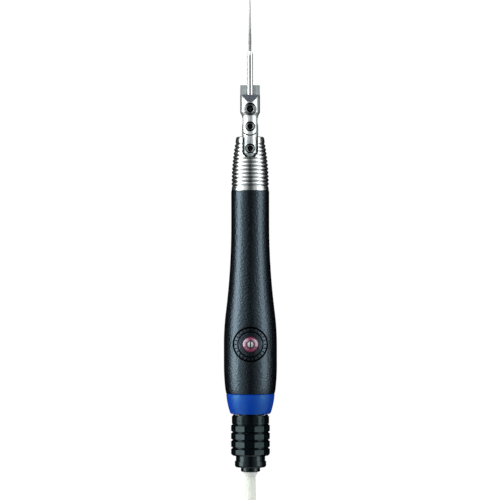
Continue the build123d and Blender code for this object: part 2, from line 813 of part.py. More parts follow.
# Grip sleeve: slim waist, long flare, full belly and a rounded rear end
waist_r = WAIST_D / 2
bulge_r = BULGE_D / 2
grip_end_r = bulge_r - GRIP_END_DROP
flare_start_y = grip_front_y - WAIST_LENGTH
taper_end_y = grip_rear_y + HEEL_LENGTH
bulge_end_y = taper_end_y + TAPER_LENGTH
flare_end_y = bulge_end_y + BULGE_LENGTH
flare_length = flare_start_y - flare_end_y
flare_angle = 2 * math.atan((bulge_r - waist_r) / flare_length)
foot_radius = FLARE_FOOT_SHARE * flare_length / math.sin(flare_angle)
flare_joint = (
    waist_r + foot_radius * (1 - math.cos(flare_angle)),
    flare_start_y - foot_radius * math.sin(flare_angle),
)
cavity_front_y = drum_front_y + FACE_ROOM
bezel_seat = cavity_d / 2 + BEZEL_FLOOR
with BuildPart() as dial_marks:
    with BuildSketch(AXIS_PLANE):
        with Locations((0, lock_y)):
            for line_d in (DIAL_D, DIAL_INNER_D):
                Circle(line_d / 2 + DIAL_LINE / 2)
                Circle(line_d / 2 - DIAL_LINE / 2, mode=Mode.SUBTRACT)
            with PolarLocations((DIAL_D + DIAL_INNER_D) / 4, DIAL_TICKS):
                Rectangle(DIAL_TICK_LENGTH, DIAL_LINE)
    extrude(amount=BULGE_D)
    revolve(
        band(0, BULGE_D - 2 * DIAL_DEPTH, grip_rear_y, grip_front_y),
        axis=TOOL_AXIS,
        mode=Mode.SUBTRACT,
    )

with BuildPart() as grip_sleeve:
    with BuildSketch(AXIS_PLANE):
        with BuildLine():
            waist = Polyline(
                (grip_bore / 2, grip_front_y - FIT),
                (waist_r - GRIP_EDGE, grip_front_y - FIT),
                (waist_r, grip_front_y - FIT - GRIP_EDGE),
                (waist_r, flare_start_y),
            )
            foot = TangentArc(waist @ 1, flare_joint, tangent=(0, -1))
            shoulder = TangentArc(foot @ 1, (bulge_r, flare_end_y), tangent=foot % 1)
            belly = Line(shoulder @ 1, (bulge_r, bulge_end_y))
            taper = TangentArc(belly @ 1, (bulge_r - GRIP_TAPER_DROP, taper_end_y), tangent=(0, -1))
            heel = TangentArc(taper @ 1, (grip_end_r, grip_rear_y + FIT), tangent=taper % 1)
            Polyline(
                heel @ 1,
                (cavity_d / 2, grip_rear_y + FIT),
                (cavity_d / 2, cavity_front_y),
                (grip_bore / 2, cavity_front_y),
                waist @ 0,
            )
        make_face()
    revolve(axis=TOOL_AXIS)
    add(dial_marks.part, mode=Mode.SUBTRACT)
    extrude(disc_at(lock_y, BEZEL_D + 2 * SLEEVE_ROOM, bezel_seat), amount=BULGE_D, mode=Mode.SUBTRACT)
    extrude(disc_at(lock_y, LOCK_SHANK_D + 2 * SLEEVE_ROOM, 0), amount=BULGE_D, mode=Mode.SUBTRACT)

# Red bezel: domed ring round the lock screw's head
bezel_r = BEZEL_D / 2
bezel_bore_r = LOCK_HEAD_D / 2 + SLEEVE_ROOM
bezel_bottom = bezel_seat + FIT
bezel_side = bulge_r - BEZEL_DROP
with BuildPart() as red_bezel:
    with BuildSketch(cross_plane(lock_y)):
        with BuildLine():
            wall = Polyline(
                (bezel_bore_r, bezel_side + BEZEL_RISE),
                (bezel_bore_r, bezel_bottom),
                (bezel_r, bezel_bottom),
                (bezel_r, bezel_side),
            )
            crown = ((bezel_r + bezel_bore_r) / 2, bezel_side + BEZEL_RISE / 2 + BEZEL_BULGE)
            ThreePointArc(wall @ 1, crown, wall @ 0)
        make_face()
    revolve(axis=screw_axis(lock_y))

# Lock screw: slotted head with a low dome, on a shank that holds the grip to the drum
lock_top = bulge_r - LOCK_HEAD_DROP
lock_head_r = LOCK_HEAD_D / 2
with BuildPart() as lock_screw:
    with BuildSketch(cross_plane(lock_y)):
        with BuildLine():
            dome = TangentArc((0, lock_top), (lock_head_r, lock_top - LOCK_HEAD_CROWN), tangent=(1, 0))
            Polyline(
                dome @ 1,
                (lock_head_r, bezel_bottom),
                (LOCK_SHANK_D / 2, bezel_bottom),
                (LOCK_SHANK_D / 2, lock_floor),
                (0, lock_floor),
                dome @ 0,
            )
        make_face()
    revolve(axis=screw_axis(lock_y))
    with BuildSketch(AXIS_PLANE.offset(lock_top)):
        with Locations((0, lock_y)):
            Rectangle(LOCK_SLOT_WIDTH, 2 * LOCK_HEAD_D)
    extrude(amount=-LOCK_SLOT_DEPTH, mode=Mode.SUBTRACT)

# Blue ring: smooth band that narrows toward the control ring
blue_front_r = grip_end_r - BLUE_STEP
blue_rear_r = BLUE_REAR_D / 2
blue_middle_r = (blue_front_r + blue_rear_r) / 2 + BLUE_CROWN
with BuildPart() as blue_ring:
    with BuildSketch(AXIS_PLANE):
        with BuildLine():
            face = Polyline(
                (hub_d / 2 + SLIDE, blue_rear_y),
                (hub_d / 2 + SLIDE, grip_rear_y - FIT),
                (blue_front_r - BLUE_EDGE, grip_rear_y - FIT),
                (blue_front_r, grip_rear_y - FIT - BLUE_EDGE),
            )
            skirt = ThreePointArc(
                face @ 1,
                (blue_middle_r, (blue_rear_y + grip_rear_y) / 2),
                (blue_rear_r, blue_rear_y + BLUE_EDGE),
            )
            Polyline(skirt @ 1, (blue_rear_r - BLUE_EDGE, blue_rear_y), face @ 0)
        make_face()
    revolve(axis=TOOL_AXIS)

# Valve stem: one turned piece through the rear of the tool, with inlet and outlet bores
collet_front_y = nut_rear_y + COLLET_HELD
stem_end_y = collet_front_y + SLEEVE_ROOM
valve_port_front_y = ring_front_y - VALVE_PORT_SETBACK
valve_port_rear_y = valve_port_front_y - VALVE_PORT_SPACING
valve_wall_y = (valve_port_front_y + valve_port_rear_y) / 2
valve_seal_stations = (ring_front_y - VALVE_SEAL_INSET, ring_rear_y + VALVE_SEAL_INSET)
stop_pin_r = (sleeve_bore + sleeve_d) / 4
with BuildPart() as valve_stem:
    revolve(
        outline(
            (0, drum_rear_y - FIT),
            (STEM_D / 2, drum_rear_y - FIT),
            (STEM_D / 2, flange_front_y),
            (drum_d / 2, flange_front_y),
            (drum_d / 2, grip_rear_y),
            (hub_d / 2, grip_rear_y),
            (hub_d / 2, blue_rear_y),
            (JOURNAL_D / 2, blue_rear_y),
            (JOURNAL_D / 2, ring_rear_y),
            (TAIL_D / 2, ring_rear_y),
            (TAIL_D / 2, stem_end_y),
            (0, stem_end_y),
        ),
        axis=TOOL_AXIS,
    )
    outlet = band(0, AIR_BORE, valve_wall_y + VALVE_WALL / 2, drum_rear_y)
    revolve(outlet, axis=TOOL_AXIS, mode=Mode.SUBTRACT)
    inlet = band(0, AIR_BORE, stem_end_y, valve_wall_y - VALVE_WALL / 2)
    revolve(inlet, axis=TOOL_AXIS, mode=Mode.SUBTRACT)
    for station in valve_seal_stations:
        groove = band(
            JOURNAL_D - 2 * SEAL_DEPTH,
            2 * JOURNAL_D,
            station - SEAL_WIDTH / 2,
            station + SEAL_WIDTH / 2,
        )
        revolve(groove, axis=TOOL_AXIS, mode=Mode.SUBTRACT)
    for station in (valve_port_front_y, valve_port_rear_y):
        extrude(disc_at(station, VALVE_PORT_D, 0), amount=JOURNAL_D, mode=Mode.SUBTRACT)
    with BuildSketch(cross_plane(flange_front_y)):
        with PolarLocations(hub_d / 2, VENT_COUNT):
            Circle(VENT_D / 2)
    extrude(amount=flange_front_y - blue_rear_y, mode=Mode.SUBTRACT)
    with BuildSketch(cross_plane(blue_rear_y + STOP_PIN_SUNK + FIT)):
        with Locations((0, -stop_pin_r)):
            Circle(STOP_PIN_D / 2 + FIT)
    extrude(amount=STOP_PIN_SUNK + FIT, mode=Mode.SUBTRACT)

with BuildPart() as exhaust_silencer:
    revolve(
        band(
            STEM_D + 2 * SLEEVE_ROOM,
            cavity_d - 2 * SILENCER_ROOM,
            flange_front_y + SILENCER_ROOM,
            drum_rear_y - SILENCER_ROOM,
        ),
        axis=TOOL_AXIS,
    )

# Control ring: round marking band, then faceted bands between grooves with slant flanks
ring_neck_rear_y = ring_front_y - RING_NECK
mark_band_rear_y = ring_neck_rear_y - RING_MARK_BAND
ring_band_step = (mark_band_rear_y - ring_rear_y) / RING_BANDS
ring_r = RING_D / 2
ring_band_r = ring_r - RING_BAND_DROP
ring_neck_r = ring_r - RING_NECK_DROP
groove_floor_r = ring_r - RING_GROOVE_DEPTH
groove_mouth_r = ring_r + RING_GROOVE_DEPTH
groove_flank = (groove_mouth_r - groove_floor_r) * RING_GROOVE_SLOPE
with BuildPart() as control_ring:
    revolve(
        outline(
            (sleeve_d / 2 + FIT, ring_rear_y),
            (ring_r - RING_CHAMFER, ring_rear_y),
            (ring_r, ring_rear_y + RING_CHAMFER),
            (ring_r, mark_band_rear_y),
            (ring_band_r, mark_band_rear_y),
            (ring_band_r, ring_neck_rear_y),
            (ring_neck_r, ring_neck_rear_y),
            (ring_neck_r, ring_front_y),
            (sleeve_d / 2 + FIT, ring_front_y),
        ),
        axis=TOOL_AXIS,
    )
    with BuildSketch(cross_plane(ring_front_y)):
        RegularPolygon(ring_r, RING_SIDES, rotation=90 - RING_PHASE)
    extrude(amount=RING_LENGTH, mode=Mode.INTERSECT)
    for step in range(RING_BANDS):
        groove_y = mark_band_rear_y - step * ring_band_step
        revolve(
            outline(
                (groove_floor_r, groove_y - RING_GROOVE),
                (groove_floor_r, groove_y),
                (groove_mouth_r, groove_y + groove_flank),
                (groove_mouth_r, groove_y - RING_GROOVE - groove_flank),
            ),
            axis=TOOL_AXIS,
            mode=Mode.SUBTRACT,
        )
    for mark in range(RING_MARKS):
        angle = math.radians((mark - (RING_MARKS - 1) / 2) * RING_MARK_STEP)
        outward = Vector(math.sin(angle), 0, math.cos(angle))
        mark_floor = outward * (ring_band_r - RING_MARK_DEPTH)
        mark_centre = mark_floor + Vector(0, (ring_neck_rear_y + mark_band_rear_y) / 2, AXIS_Z)
        with BuildSketch(Plane(origin=mark_centre, x_dir=(0, 1, 0), z_dir=outward)):
            Rectangle(RING_MARK_LENGTH * (mark + 2) / (RING_MARKS + 1), RING_MARK_WIDTH)
        extrude(amount=ring_r, mode=Mode.SUBTRACT)

# Valve sleeve: turns with the control ring, links the two ports, and stops on a pin
sleeve_front_y = blue_rear_y - SLEEVE_INSET
sleeve_rear_y = ring_rear_y + FACE_ROOM
with BuildPart() as valve_sleeve:
    revolve(band(sleeve_bore, sleeve_d, sleeve_rear_y, sleeve_front_y), axis=TOOL_AXIS)
    pocket_half = VALVE_PORT_SPACING / 2 + VALVE_PORT_D
    revolve(
        band(
            JOURNAL_D,
            JOURNAL_D + 2 * VALVE_POCKET_DEPTH,
            valve_wall_y - pocket_half,
            valve_wall_y + pocket_half,
        ).rotate(TOOL_AXIS, -90 - VALVE_POCKET_ARC / 2),
        axis=TOOL_AXIS,
        revolution_arc=VALVE_POCKET_ARC,
        mode=Mode.SUBTRACT,
    )
    with BuildSketch(cross_plane(sleeve_front_y)):
        with BuildLine():
            notch_start = 90 - SLEEVE_TRAVEL_ROOM
            notch_turn = SLEEVE_TRAVEL + 2 * SLEEVE_TRAVEL_ROOM
            rim = CenterArc((0, 0), sleeve_d, 90 - notch_start, -notch_turn)
            Polyline(rim @ 1, (0, 0), rim @ 0)
        make_face()
    extrude(amount=STOP_NOTCH, mode=Mode.SUBTRACT)

valve_seals = seal_ring(
    JOURNAL_D - 2 * SEAL_DEPTH + 2 * FIT,
    JOURNAL_D + 2 * FIT,
    SEAL_WIDTH - FACE_ROOM,
    *valve_seal_stations,
)

with BuildPart() as ring_stop_pin:
    with BuildSketch(cross_plane(blue_rear_y + STOP_PIN_SUNK)):
        with Locations((0, -stop_pin_r)):
            Circle(STOP_PIN_D / 2)
    extrude(amount=STOP_PIN_SUNK + STOP_PIN_SHOWN)

with BuildPart() as thrust_washer:
    revolve(
        band(TAIL_D + 2 * SLIDE, sleeve_d, nut_front_y + FIT, ring_rear_y - FACE_ROOM / 2),
        axis=TOOL_AXIS,
    )

# Hose connector: nut on the stem's tail, collet, white ferrule and barb
nut_step_y = nut_front_y - NUT_STEP
hose_r = HOSE_D / 2
with BuildPart() as hose_nut:
    with BuildSketch(AXIS_PLANE):
        with BuildLine():
            rim = Polyline(
                (collet_sleeve_d / 2 + SLIDE, nut_rear_y),
                (collet_sleeve_d / 2 + SLIDE, collet_front_y + FIT),
                (TAIL_D / 2 + SLIDE, collet_front_y + FIT),
                (TAIL_D / 2 + SLIDE, nut_front_y),
                (NUT_FRONT_D / 2, nut_front_y),
                (NUT_FRONT_D / 2, nut_step_y),
                (NUT_REAR_D / 2, nut_step_y),
                (NUT_REAR_D / 2, nut_rear_y + NUT_ROUND),
            )
            heel = TangentArc(rim @ 1, (NUT_REAR_D / 2 - NUT_ROUND, nut_rear_y), tangent=(0, -1))
            Line(heel @ 1, rim @ 0)
        make_face()
    revolve(axis=TOOL_AXIS)

with BuildPart() as hose_collet:
    with BuildSketch(AXIS_PLANE):
        with BuildLine():
            rim = Polyline(
                (hose_r + SLEEVE_ROOM, tail_y),
                (hose_r + SLEEVE_ROOM, collet_front_y),
                (collet_sleeve_d / 2, collet_front_y),
                (collet_sleeve_d / 2, nut_rear_y - FIT),
                (COLLET_D / 2, nut_rear_y - FIT),
                (COLLET_D / 2, tail_y + COLLET_ROUND),
            )
            heel = TangentArc(rim @ 1, (COLLET_D / 2 - COLLET_ROUND, tail_y), tangent=(0, -1))
            Line(heel @ 1, rim @ 0)
        make_face()
    revolve(axis=TOOL_AXIS)

with BuildPart() as hose_ferrule:
    revolve(
        outline(
            (hose_r + FIT, tail_y - FIT),
            (FERRULE_D / 2, tail_y - FIT),
            (hose_r + FERRULE_LIP, tail_y - FERRULE_LENGTH),
            (hose_r + FIT, tail_y - FERRULE_LENGTH),
        ),
        axis=TOOL_AXIS,
    )

with BuildPart() as hose_barb:
    revolve(
        outline(
            (BARB_BORE / 2, stem_end_y - BARB_IN_HOSE),
            (hose_bore / 2 - SLEEVE_ROOM, stem_end_y - BARB_IN_HOSE),
            (hose_bore / 2 - SLEEVE_ROOM, stem_end_y),
            (AIR_BORE / 2 - FIT, stem_end_y),
            (AIR_BORE / 2 - FIT, stem_end_y + BARB_IN_STEM),
            (BARB_BORE / 2, stem_end_y + BARB_IN_STEM),
        ),
        axis=TOOL_AXIS,
    )

with BuildPart() as inlet_filter:
    revolve(
        band(
            0,
            AIR_BORE - 2 * FIT,
            stem_end_y + BARB_IN_STEM + FIT,
            stem_end_y + BARB_IN_STEM + FILTER_LENGTH,
        ),
        axis=TOOL_AXIS,
    )

# Hose route, from the end of the stem to the first run of the hank
hank_pile = TIE_THICKNESS + HANK_ROOM + hose_r
hank_pitch = HOSE_D + HANK_GAP
hank_outer = HANK_FOLD_RADIUS + (2 * HANK_LAYER_RUNS - 1) / 4 * hank_pitch
hank_start_x = HANK_SHIFT + hank_outer
near_fold_y = tail_y - HANK_SETBACK
waist_y = near_fold_y - HANK_RUN / 2
far_fold_y = near_fold_y - HANK_RUN
HOSE_ROUTE = [
    Vector(0, stem_end_y - FIT, AXIS_Z),
    Vector(0, tail_y - 13.0, AXIS_Z),
    Vector(1.2, tail_y - 28.5, 7.4),
    Vector(5.6, tail_y - 43.7, hank_pile + 0.8),
    Vector(hank_start_x, tail_y - 58.7, hank_pile),
    Vector(hank_start_x, tail_y - 73.5, hank_pile),
]
runs = [end - start for start, end in zip(HOSE_ROUTE, HOSE_ROUTE[1:])]
bend_radii = []
for before, after in zip(runs, runs[1:]):
    half_turn = math.radians(before.get_angle(after)) / 2
    bend_radii.append(HOSE_BEND_SHARE * min(before.length, after.length) / math.tan(half_turn))


def hose_section(start, way):
    """Ring section of the hose, square to its path."""
    with BuildSketch(Plane(origin=start, z_dir=way)) as section:
        Circle(HOSE_D / 2)
        Circle(hose_bore / 2, mode=Mode.SUBTRACT)
    return section.sketch


with BuildPart() as air_hose:
    with BuildLine() as hose_path:
        FilletPolyline(*HOSE_ROUTE, radius=bend_radii)
    sweep(hose_section(HOSE_ROUTE[0], runs[0]), path=hose_path.wires()[0])

# Hank: long loops that spiral in and out, drawn in at the waist, a layer's climb along a run
tie_top = hank_pile + (HANK_LAYERS - 1) * hank_pitch + hose_r + HANK_ROOM + TIE_THICKNESS
coupler_z = tie_top + HANK_ROOM + hose_r
coupler_y = waist_y - TIE_WIDTH / 2 - COUPLER_GAP
hank_stops = [(HOSE_ROUTE[-1], Vector(0, -1, 0))]
hank_stops.append((HOSE_ROUTE[-1] + Vector(0, -HOSE_D, 0), Vector(0, -1, 0)))
run_count = HANK_LAYERS * HANK_LAYER_RUNS + 1
level = hank_pile
for run in range(run_count):
    inward = run % (2 * HANK_LAYER_RUNS)
    offset_steps = min(inward, 2 * HANK_LAYER_RUNS - inward)
    side = 1 if run % 2 == 0 else -1
    way = Vector(0, -side, 0)
    run_x = side * (hank_outer - offset_steps * hank_pitch / 2)
    waist_x = run_x - side * HANK_DRAW
    start_y = near_fold_y if side > 0 else far_fold_y
    end_y = far_fold_y if side > 0 else near_fold_y
    if run > 0:
        hank_stops.append((Vector(HANK_SHIFT + run_x, start_y, level), way))
    if run == run_count - 1:
        tail_climb_y = waist_y + TIE_WIDTH / 2
        hank_stops.append((Vector(HANK_SHIFT + waist_x, tail_climb_y, coupler_z), way))
        hank_stops.append((Vector(HANK_SHIFT + waist_x, coupler_y, coupler_z), way))
        break
    hank_stops.append((Vector(HANK_SHIFT + waist_x, waist_y, level), way))
    if run % HANK_LAYER_RUNS == 0 and run > 0:
        level += hank_pitch
    hank_stops.append((Vector(HANK_SHIFT + run_x, end_y, level), way))
with BuildPart() as air_hose_hank:
    with BuildLine() as hank_path:
        draw_turns(hank_stops)
    sweep(hose_section(*hank_stops[0]), path=hank_path.wires()[0])

# Tie: soft strap round the waist of the hank
tie_right = hank_outer - HANK_DRAW + hose_r + HANK_ROOM
tie_left = hank_outer - hank_pitch / 2 - HANK_DRAW + hose_r + HANK_ROOM
tie_height = tie_top - 2 * TIE_THICKNESS
tie_centre = (HANK_SHIFT + (tie_right - tie_left) / 2, TIE_THICKNESS + tie_height / 2)
with BuildPart() as hose_tie:
    with BuildSketch(Plane(origin=(0, waist_y, 0), x_dir=(1, 0, 0), z_dir=(0, -1, 0))):
        with Locations(tie_centre):
            RectangleRounded(
                tie_right + tie_left + 2 * TIE_THICKNESS,
                tie_height + 2 * TIE_THICKNESS,
                hose_r + HANK_ROOM + TIE_THICKNESS,
            )
            RectangleRounded(tie_right + tie_left, tie_height, hose_r + HANK_ROOM, mode=Mode.SUBTRACT)
    extrude(amount=TIE_WIDTH / 2, both=True)

# Coupler: knurled nut on the hose and a plug with a lock groove
coupler_x = HANK_SHIFT + hank_outer - HANK_DRAW
nut_end_y = coupler_y - COUPLER_NUT_LENGTH
COUPLER_PLANE = Plane(origin=(coupler_x, 0, coupler_z), x_dir=(1, 0, 0), z_dir=(0, 0, 1))
COUPLER_AXIS = Axis((coupler_x, 0, coupler_z), (0, 1, 0))
with BuildPart() as coupler_nut:
    with BuildSketch(Plane(origin=(coupler_x, coupler_y, coupler_z), x_dir=(1, 0, 0), z_dir=(0, -1, 0))):
        Circle(COUPLER_NUT_D / 2)
        with PolarLocations(COUPLER_NUT_D / 2, COUPLER_GRIPS):
            Circle(COUPLER_GRIP_D / 2, mode=Mode.SUBTRACT)
        Circle(hose_bore / 2, mode=Mode.SUBTRACT)
    extrude(amount=COUPLER_NUT_LENGTH)

body_front_y = nut_end_y - COUPLER_NECK
body_rear_y = body_front_y - COUPLER_BODY
plug_end_y = body_rear_y - PLUG_LENGTH
groove_y = plug_end_y + PLUG_GROOVE_SETBACK
with BuildPart() as coupler_plug:
    with BuildSketch(COUPLER_PLANE):
        with BuildLine():
            Polyline(
                (hose_bore / 2, nut_end_y - FIT),
                (COUPLER_NECK_D / 2, nut_end_y - FIT),
                (COUPLER_NECK_D / 2, body_front_y),
                (COUPLER_BODY_D / 2, body_front_y),
                (COUPLER_BODY_D / 2, body_rear_y),
                (PLUG_D / 2, body_rear_y),
                (PLUG_D / 2, groove_y + PLUG_GROOVE),
                (PLUG_GROOVE_D / 2, groove_y + PLUG_GROOVE),
                (PLUG_GROOVE_D / 2, groove_y),
                (PLUG_D / 2, groove_y),
                (PLUG_D / 2, plug_end_y + PLUG_CHAMFER),
                (PLUG_D / 2 - PLUG_CHAMFER, plug_end_y),
                (hose_bore / 2, plug_end_y),
                close=True,
            )
        make_face()
    revolve(axis=COUPLER_AXIS)

pieces = {
    "lapping_file": lapping_file,
    "file_holder": file_holder,
    "file_clamp_screw": file_clamp_screw,
    "swivel_pivot_screw": swivel_pivot_screw,
    "rod_adaptor": rod_adaptor,
    "adaptor_set_screw": adaptor_set_screw,
    "output_rod": output_rod,
    "nose_cone": nose_cone,
    "nose_seal": nose_seal,
    "rod_wiper": rod_wiper,
    "front_bush": front_bush,
    "return_spring": return_spring,
    "piston": piston,
    "piston_rings": piston_rings,
    "rear_buffer": rear_buffer,
    "cylinder_liner": cylinder_liner,
    "cylinder_head": cylinder_head,
    "head_seal": head_seal,
    "grip_sleeve": grip_sleeve,
    "red_bezel": red_bezel,
    "lock_screw": lock_screw,
    "blue_ring": blue_ring,
    "exhaust_silencer": exhaust_silencer,
    "valve_stem": valve_stem,
    "control_ring": control_ring,
    "valve_sleeve": valve_sleeve,
    "valve_seals": valve_seals,
    "ring_stop_pin": ring_stop_pin,
    "thrust_washer": thrust_washer,
    "hose_nut": hose_nut,
    "hose_collet": hose_collet,
    "hose_ferrule": hose_ferrule,
    "hose_barb": hose_barb,
    "inlet_filter": inlet_filter,
    "air_hose": air_hose,
    "air_hose_hank": air_hose_hank,
    "hose_tie": hose_tie,
    "coupler_nut": coupler_nut,
    "coupler_plug": coupler_plug,
}

os.makedirs("parts", exist_ok=True)
for label, piece in pieces.items():
    piece.part.label = label
    export_step(piece.part, f"parts/{label}.step")


def least_gap(wire, thickness, spacing):
    """Least room between two stretches of a tube that lie apart along its path."""
    count = int(wire.length / spacing)
    points = [tuple(wire.position_at(index / count)) for index in range(count + 1)]
    apart = int(math.pi * thickness / spacing)
    nearest = min(
        math.dist(points[first], points[second])
        for first in range(count + 1)
        for second in range(first + apart, count + 1)
    )
    return nearest - thickness


hose_wire = hose_path.wires()[0]
hank_wire = hank_path.wires()[0]
hose_area = math.pi * (HOSE_D**2 - hose_bore**2) / 4
print("hose bend radii", [round(radius, 1) for radius in bend_radii])
print("hose length", round(hose_wire.length + hank_wire.length, 1))
print("hose volume over section times length", air_hose.part.volume / (hose_area * hose_wire.length))
print("hank volume over section times length", air_hose_hank.part.volume / (hose_area * hank_wire.length))
print("hank least gap", round(least_gap(hank_wire, HOSE_D, 1.5), 3))
print("spring least gap", round(least_gap(spring_path.wires()[0], SPRING_WIRE_D, 0.3), 3))
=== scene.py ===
"""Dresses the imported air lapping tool: hose, tie, spring, materials, light and camera."""
import json
import math

import bmesh
import bpy
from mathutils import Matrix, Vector


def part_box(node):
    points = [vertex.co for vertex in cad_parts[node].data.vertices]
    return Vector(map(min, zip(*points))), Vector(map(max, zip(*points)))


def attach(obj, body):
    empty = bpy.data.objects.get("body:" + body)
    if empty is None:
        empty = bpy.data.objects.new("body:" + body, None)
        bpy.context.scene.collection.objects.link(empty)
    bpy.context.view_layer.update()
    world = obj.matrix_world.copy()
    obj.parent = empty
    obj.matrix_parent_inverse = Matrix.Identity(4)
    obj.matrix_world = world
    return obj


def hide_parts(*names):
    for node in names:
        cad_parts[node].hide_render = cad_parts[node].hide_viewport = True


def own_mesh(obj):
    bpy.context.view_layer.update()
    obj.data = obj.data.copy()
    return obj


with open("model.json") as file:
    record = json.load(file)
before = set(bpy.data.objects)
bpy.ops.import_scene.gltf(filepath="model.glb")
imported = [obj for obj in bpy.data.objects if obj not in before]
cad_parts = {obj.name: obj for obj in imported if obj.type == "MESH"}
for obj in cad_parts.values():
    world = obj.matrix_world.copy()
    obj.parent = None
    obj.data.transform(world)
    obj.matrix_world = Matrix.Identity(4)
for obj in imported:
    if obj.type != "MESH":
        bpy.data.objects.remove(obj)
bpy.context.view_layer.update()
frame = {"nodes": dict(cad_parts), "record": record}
scene = bpy.context.scene
MM = 0.001

# The tool's axis, and the stations along it that the materials need
AXIS_Z = 0.01062
SHANK_END_Y = 0.0737

# The dial on the grip: radius and half width of its two lines, and how far their edges fade
DIAL_LINES = ((0.0067, 0.00034), (0.005, 0.00024))
DIAL_FADE = 0.00006

# The holder's slant facet, and how closely a surface must face a direction to count as facing it
FACET_NORMAL = (0, 0.514, 0.857)
FACING_LEAST = 0.995

# Camera: straight above, as high as keeps the photograph's 200 mm across the axis
VIEW_X = -0.0001
VIEW_Y = -0.0057
VIEW_HEIGHT = 1.0
VIEW_ROLL = -0.0013
VIEW_SENSOR = 36.0
VIEW_LENS = 180.0
camera = bpy.data.objects.new("camera", bpy.data.cameras.new("camera"))
scene.collection.objects.link(camera)
camera.data.sensor_width = VIEW_SENSOR
camera.data.lens = VIEW_LENS
camera.location = (VIEW_X, VIEW_Y, AXIS_Z + VIEW_HEIGHT)
camera.rotation_euler = (0, 0, VIEW_ROLL)
scene.camera = camera


class Look:
    """One procedural material, drawn in the object's own coordinates.

    The colour, roughness and metallic given here stand wherever no node feeds their sockets.
    """

    def __init__(self, name, color, roughness, metallic=0.0, **sockets):
        self.material = bpy.data.materials.new(name)
        self.material.use_nodes = True
        self.nodes = self.material.node_tree.nodes
        self.links = self.material.node_tree.links
        self.shader = self.nodes["Principled BSDF"]
        self.normal = None
        self.place = self.add("TexCoord").outputs["Object"]
        self.set("Base Color", (*color, 1.0))
        self.set("Roughness", roughness)
        self.set("Metallic", metallic)
        for socket, value in sockets.items():
            self.set(socket.replace("_", " "), value)

    def add(self, kind, sources=(), **settings):
        node = self.nodes.new("ShaderNode" + kind)
        for key, value in settings.items():
            setattr(node, key, value)
        for socket, source in dict(sources).items():
            self.feed(node.inputs[socket], source)
        return node

    def feed(self, socket, source):
        if isinstance(source, bpy.types.NodeSocket):
            self.links.new(source, socket)
        else:
            socket.default_value = source

    def set(self, socket, source):
        self.feed(self.shader.inputs[socket], source)

    def axis(self, name):
        return self.add("SeparateXYZ", {"Vector": self.place}).outputs[name]

    def math(self, operation, first, second=0.0):
        node = self.add("Math", {0: first, 1: second}, operation=operation)
        return node.outputs[0]

    def noise(self, size, stretch=(1, 1, 1), detail=3.0):
        """Noise with grains of a size in millimetres, drawn out along the axes."""
        scale = [1 / (size * MM * part) for part in stretch]
        place = self.add("Mapping", {"Vector": self.place, "Scale": scale})
        sources = {"Vector": place.outputs[0], "Scale": 1.0, "Detail": detail}
        return self.add("TexNoise", sources).outputs[0]

    def cells(self, size):
        """Distance to the middle of the nearest grain, for grains of a size in millimetres."""
        scale = [1 / (size * MM)] * 3
        place = self.add("Mapping", {"Vector": self.place, "Scale": scale})
        return self.add("TexVoronoi", {"Vector": place.outputs[0], "Scale": 1.0}).outputs["Distance"]

    def turned(self, size, axis="Y"):
        """Lines turned round the axis, about a size in millimetres apart."""
        along = self.math("MULTIPLY", self.axis(axis), 1 / (size * MM))
        sources = {"W": along, "Scale": 1.0, "Detail": 2.0}
        return self.add("TexNoise", sources, noise_dimensions="1D").outputs[0]

    def span(self, source, low, high, start=0.0, end=1.0):
        """Takes low to high over to start to end, and holds the ends."""
        sources = {"Value": source, "From Min": low, "From Max": high, "To Min": start, "To Max": end}
        return self.add("MapRange", sources).outputs[0]

    def blend(self, share, first, second):
        """Colour from first to second by share."""
        colors = [c if isinstance(c, bpy.types.NodeSocket) else (*c, 1.0) for c in (first, second)]
        node = self.add("Mix", {0: share, 6: colors[0], 7: colors[1]}, data_type="RGBA")
        return node.outputs[2]

    def choose(self, share, first, second):
        """Number from first to second by share."""
        return self.add("Mix", {0: share, 2: first, 3: second}).outputs[0]

    def bump(self, height, depth):
        """Relief of a depth in millimetres, over what is there already."""
        sources = {"Height": height, "Distance": depth * MM, "Strength": 1.0}
        if self.normal is not None:
            sources["Normal"] = self.normal
        self.normal = self.add("Bump", sources).outputs[0]
        self.set("Normal", self.normal)

    def open_air(self, reach):
        """1 on open surfaces, falling to 0 in gaps and grooves narrower than a reach in millimetres."""
        return self.add("AmbientOcclusion", {"Distance": reach * MM}).outputs["AO"]

    def shade_gaps(self, color, reach=0.8, low=0.25, high=0.75):
        """Painted shade: colour that goes black in gaps and grooves."""
        clear = self.span(self.open_air(reach), low, high)
        self.set("Base Color", self.blend(clear, (0.0, 0.0, 0.0), color))

    def dial_line(self, radius, half):
        """1 on a ring round the dial's middle on top of the grip, 0 elsewhere."""
        middle = (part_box("lock_screw")[0][1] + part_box("lock_screw")[1][1]) / 2
        sources = {0: self.place, 1: (0, middle, 0)}
        flat = self.add("VectorMath", sources, operation="SUBTRACT").outputs["Vector"]
        flat = self.add("VectorMath", {0: flat, 1: (1, 1, 0)}, operation="MULTIPLY").outputs["Vector"]
        reach = self.add("VectorMath", {0: flat}, operation="LENGTH").outputs["Value"]
        off = self.math("ABSOLUTE", self.math("SUBTRACT", reach, radius))
        on_line = self.span(off, half - DIAL_FADE, half + DIAL_FADE, 1.0, 0.0)
        upper = self.math("GREATER_THAN", self.axis("Z"), AXIS_Z)
        return self.math("MULTIPLY", upper, on_line)

    def facing(self, direction):
        """1 where the object's own normal lies along direction, 0 elsewhere."""
        own = self.add("TexCoord").outputs["Normal"]
        node = self.add("VectorMath", {0: own, 1: direction}, operation="DOT_PRODUCT")
        return self.math("GREATER_THAN", node.outputs["Value"], FACING_LEAST)


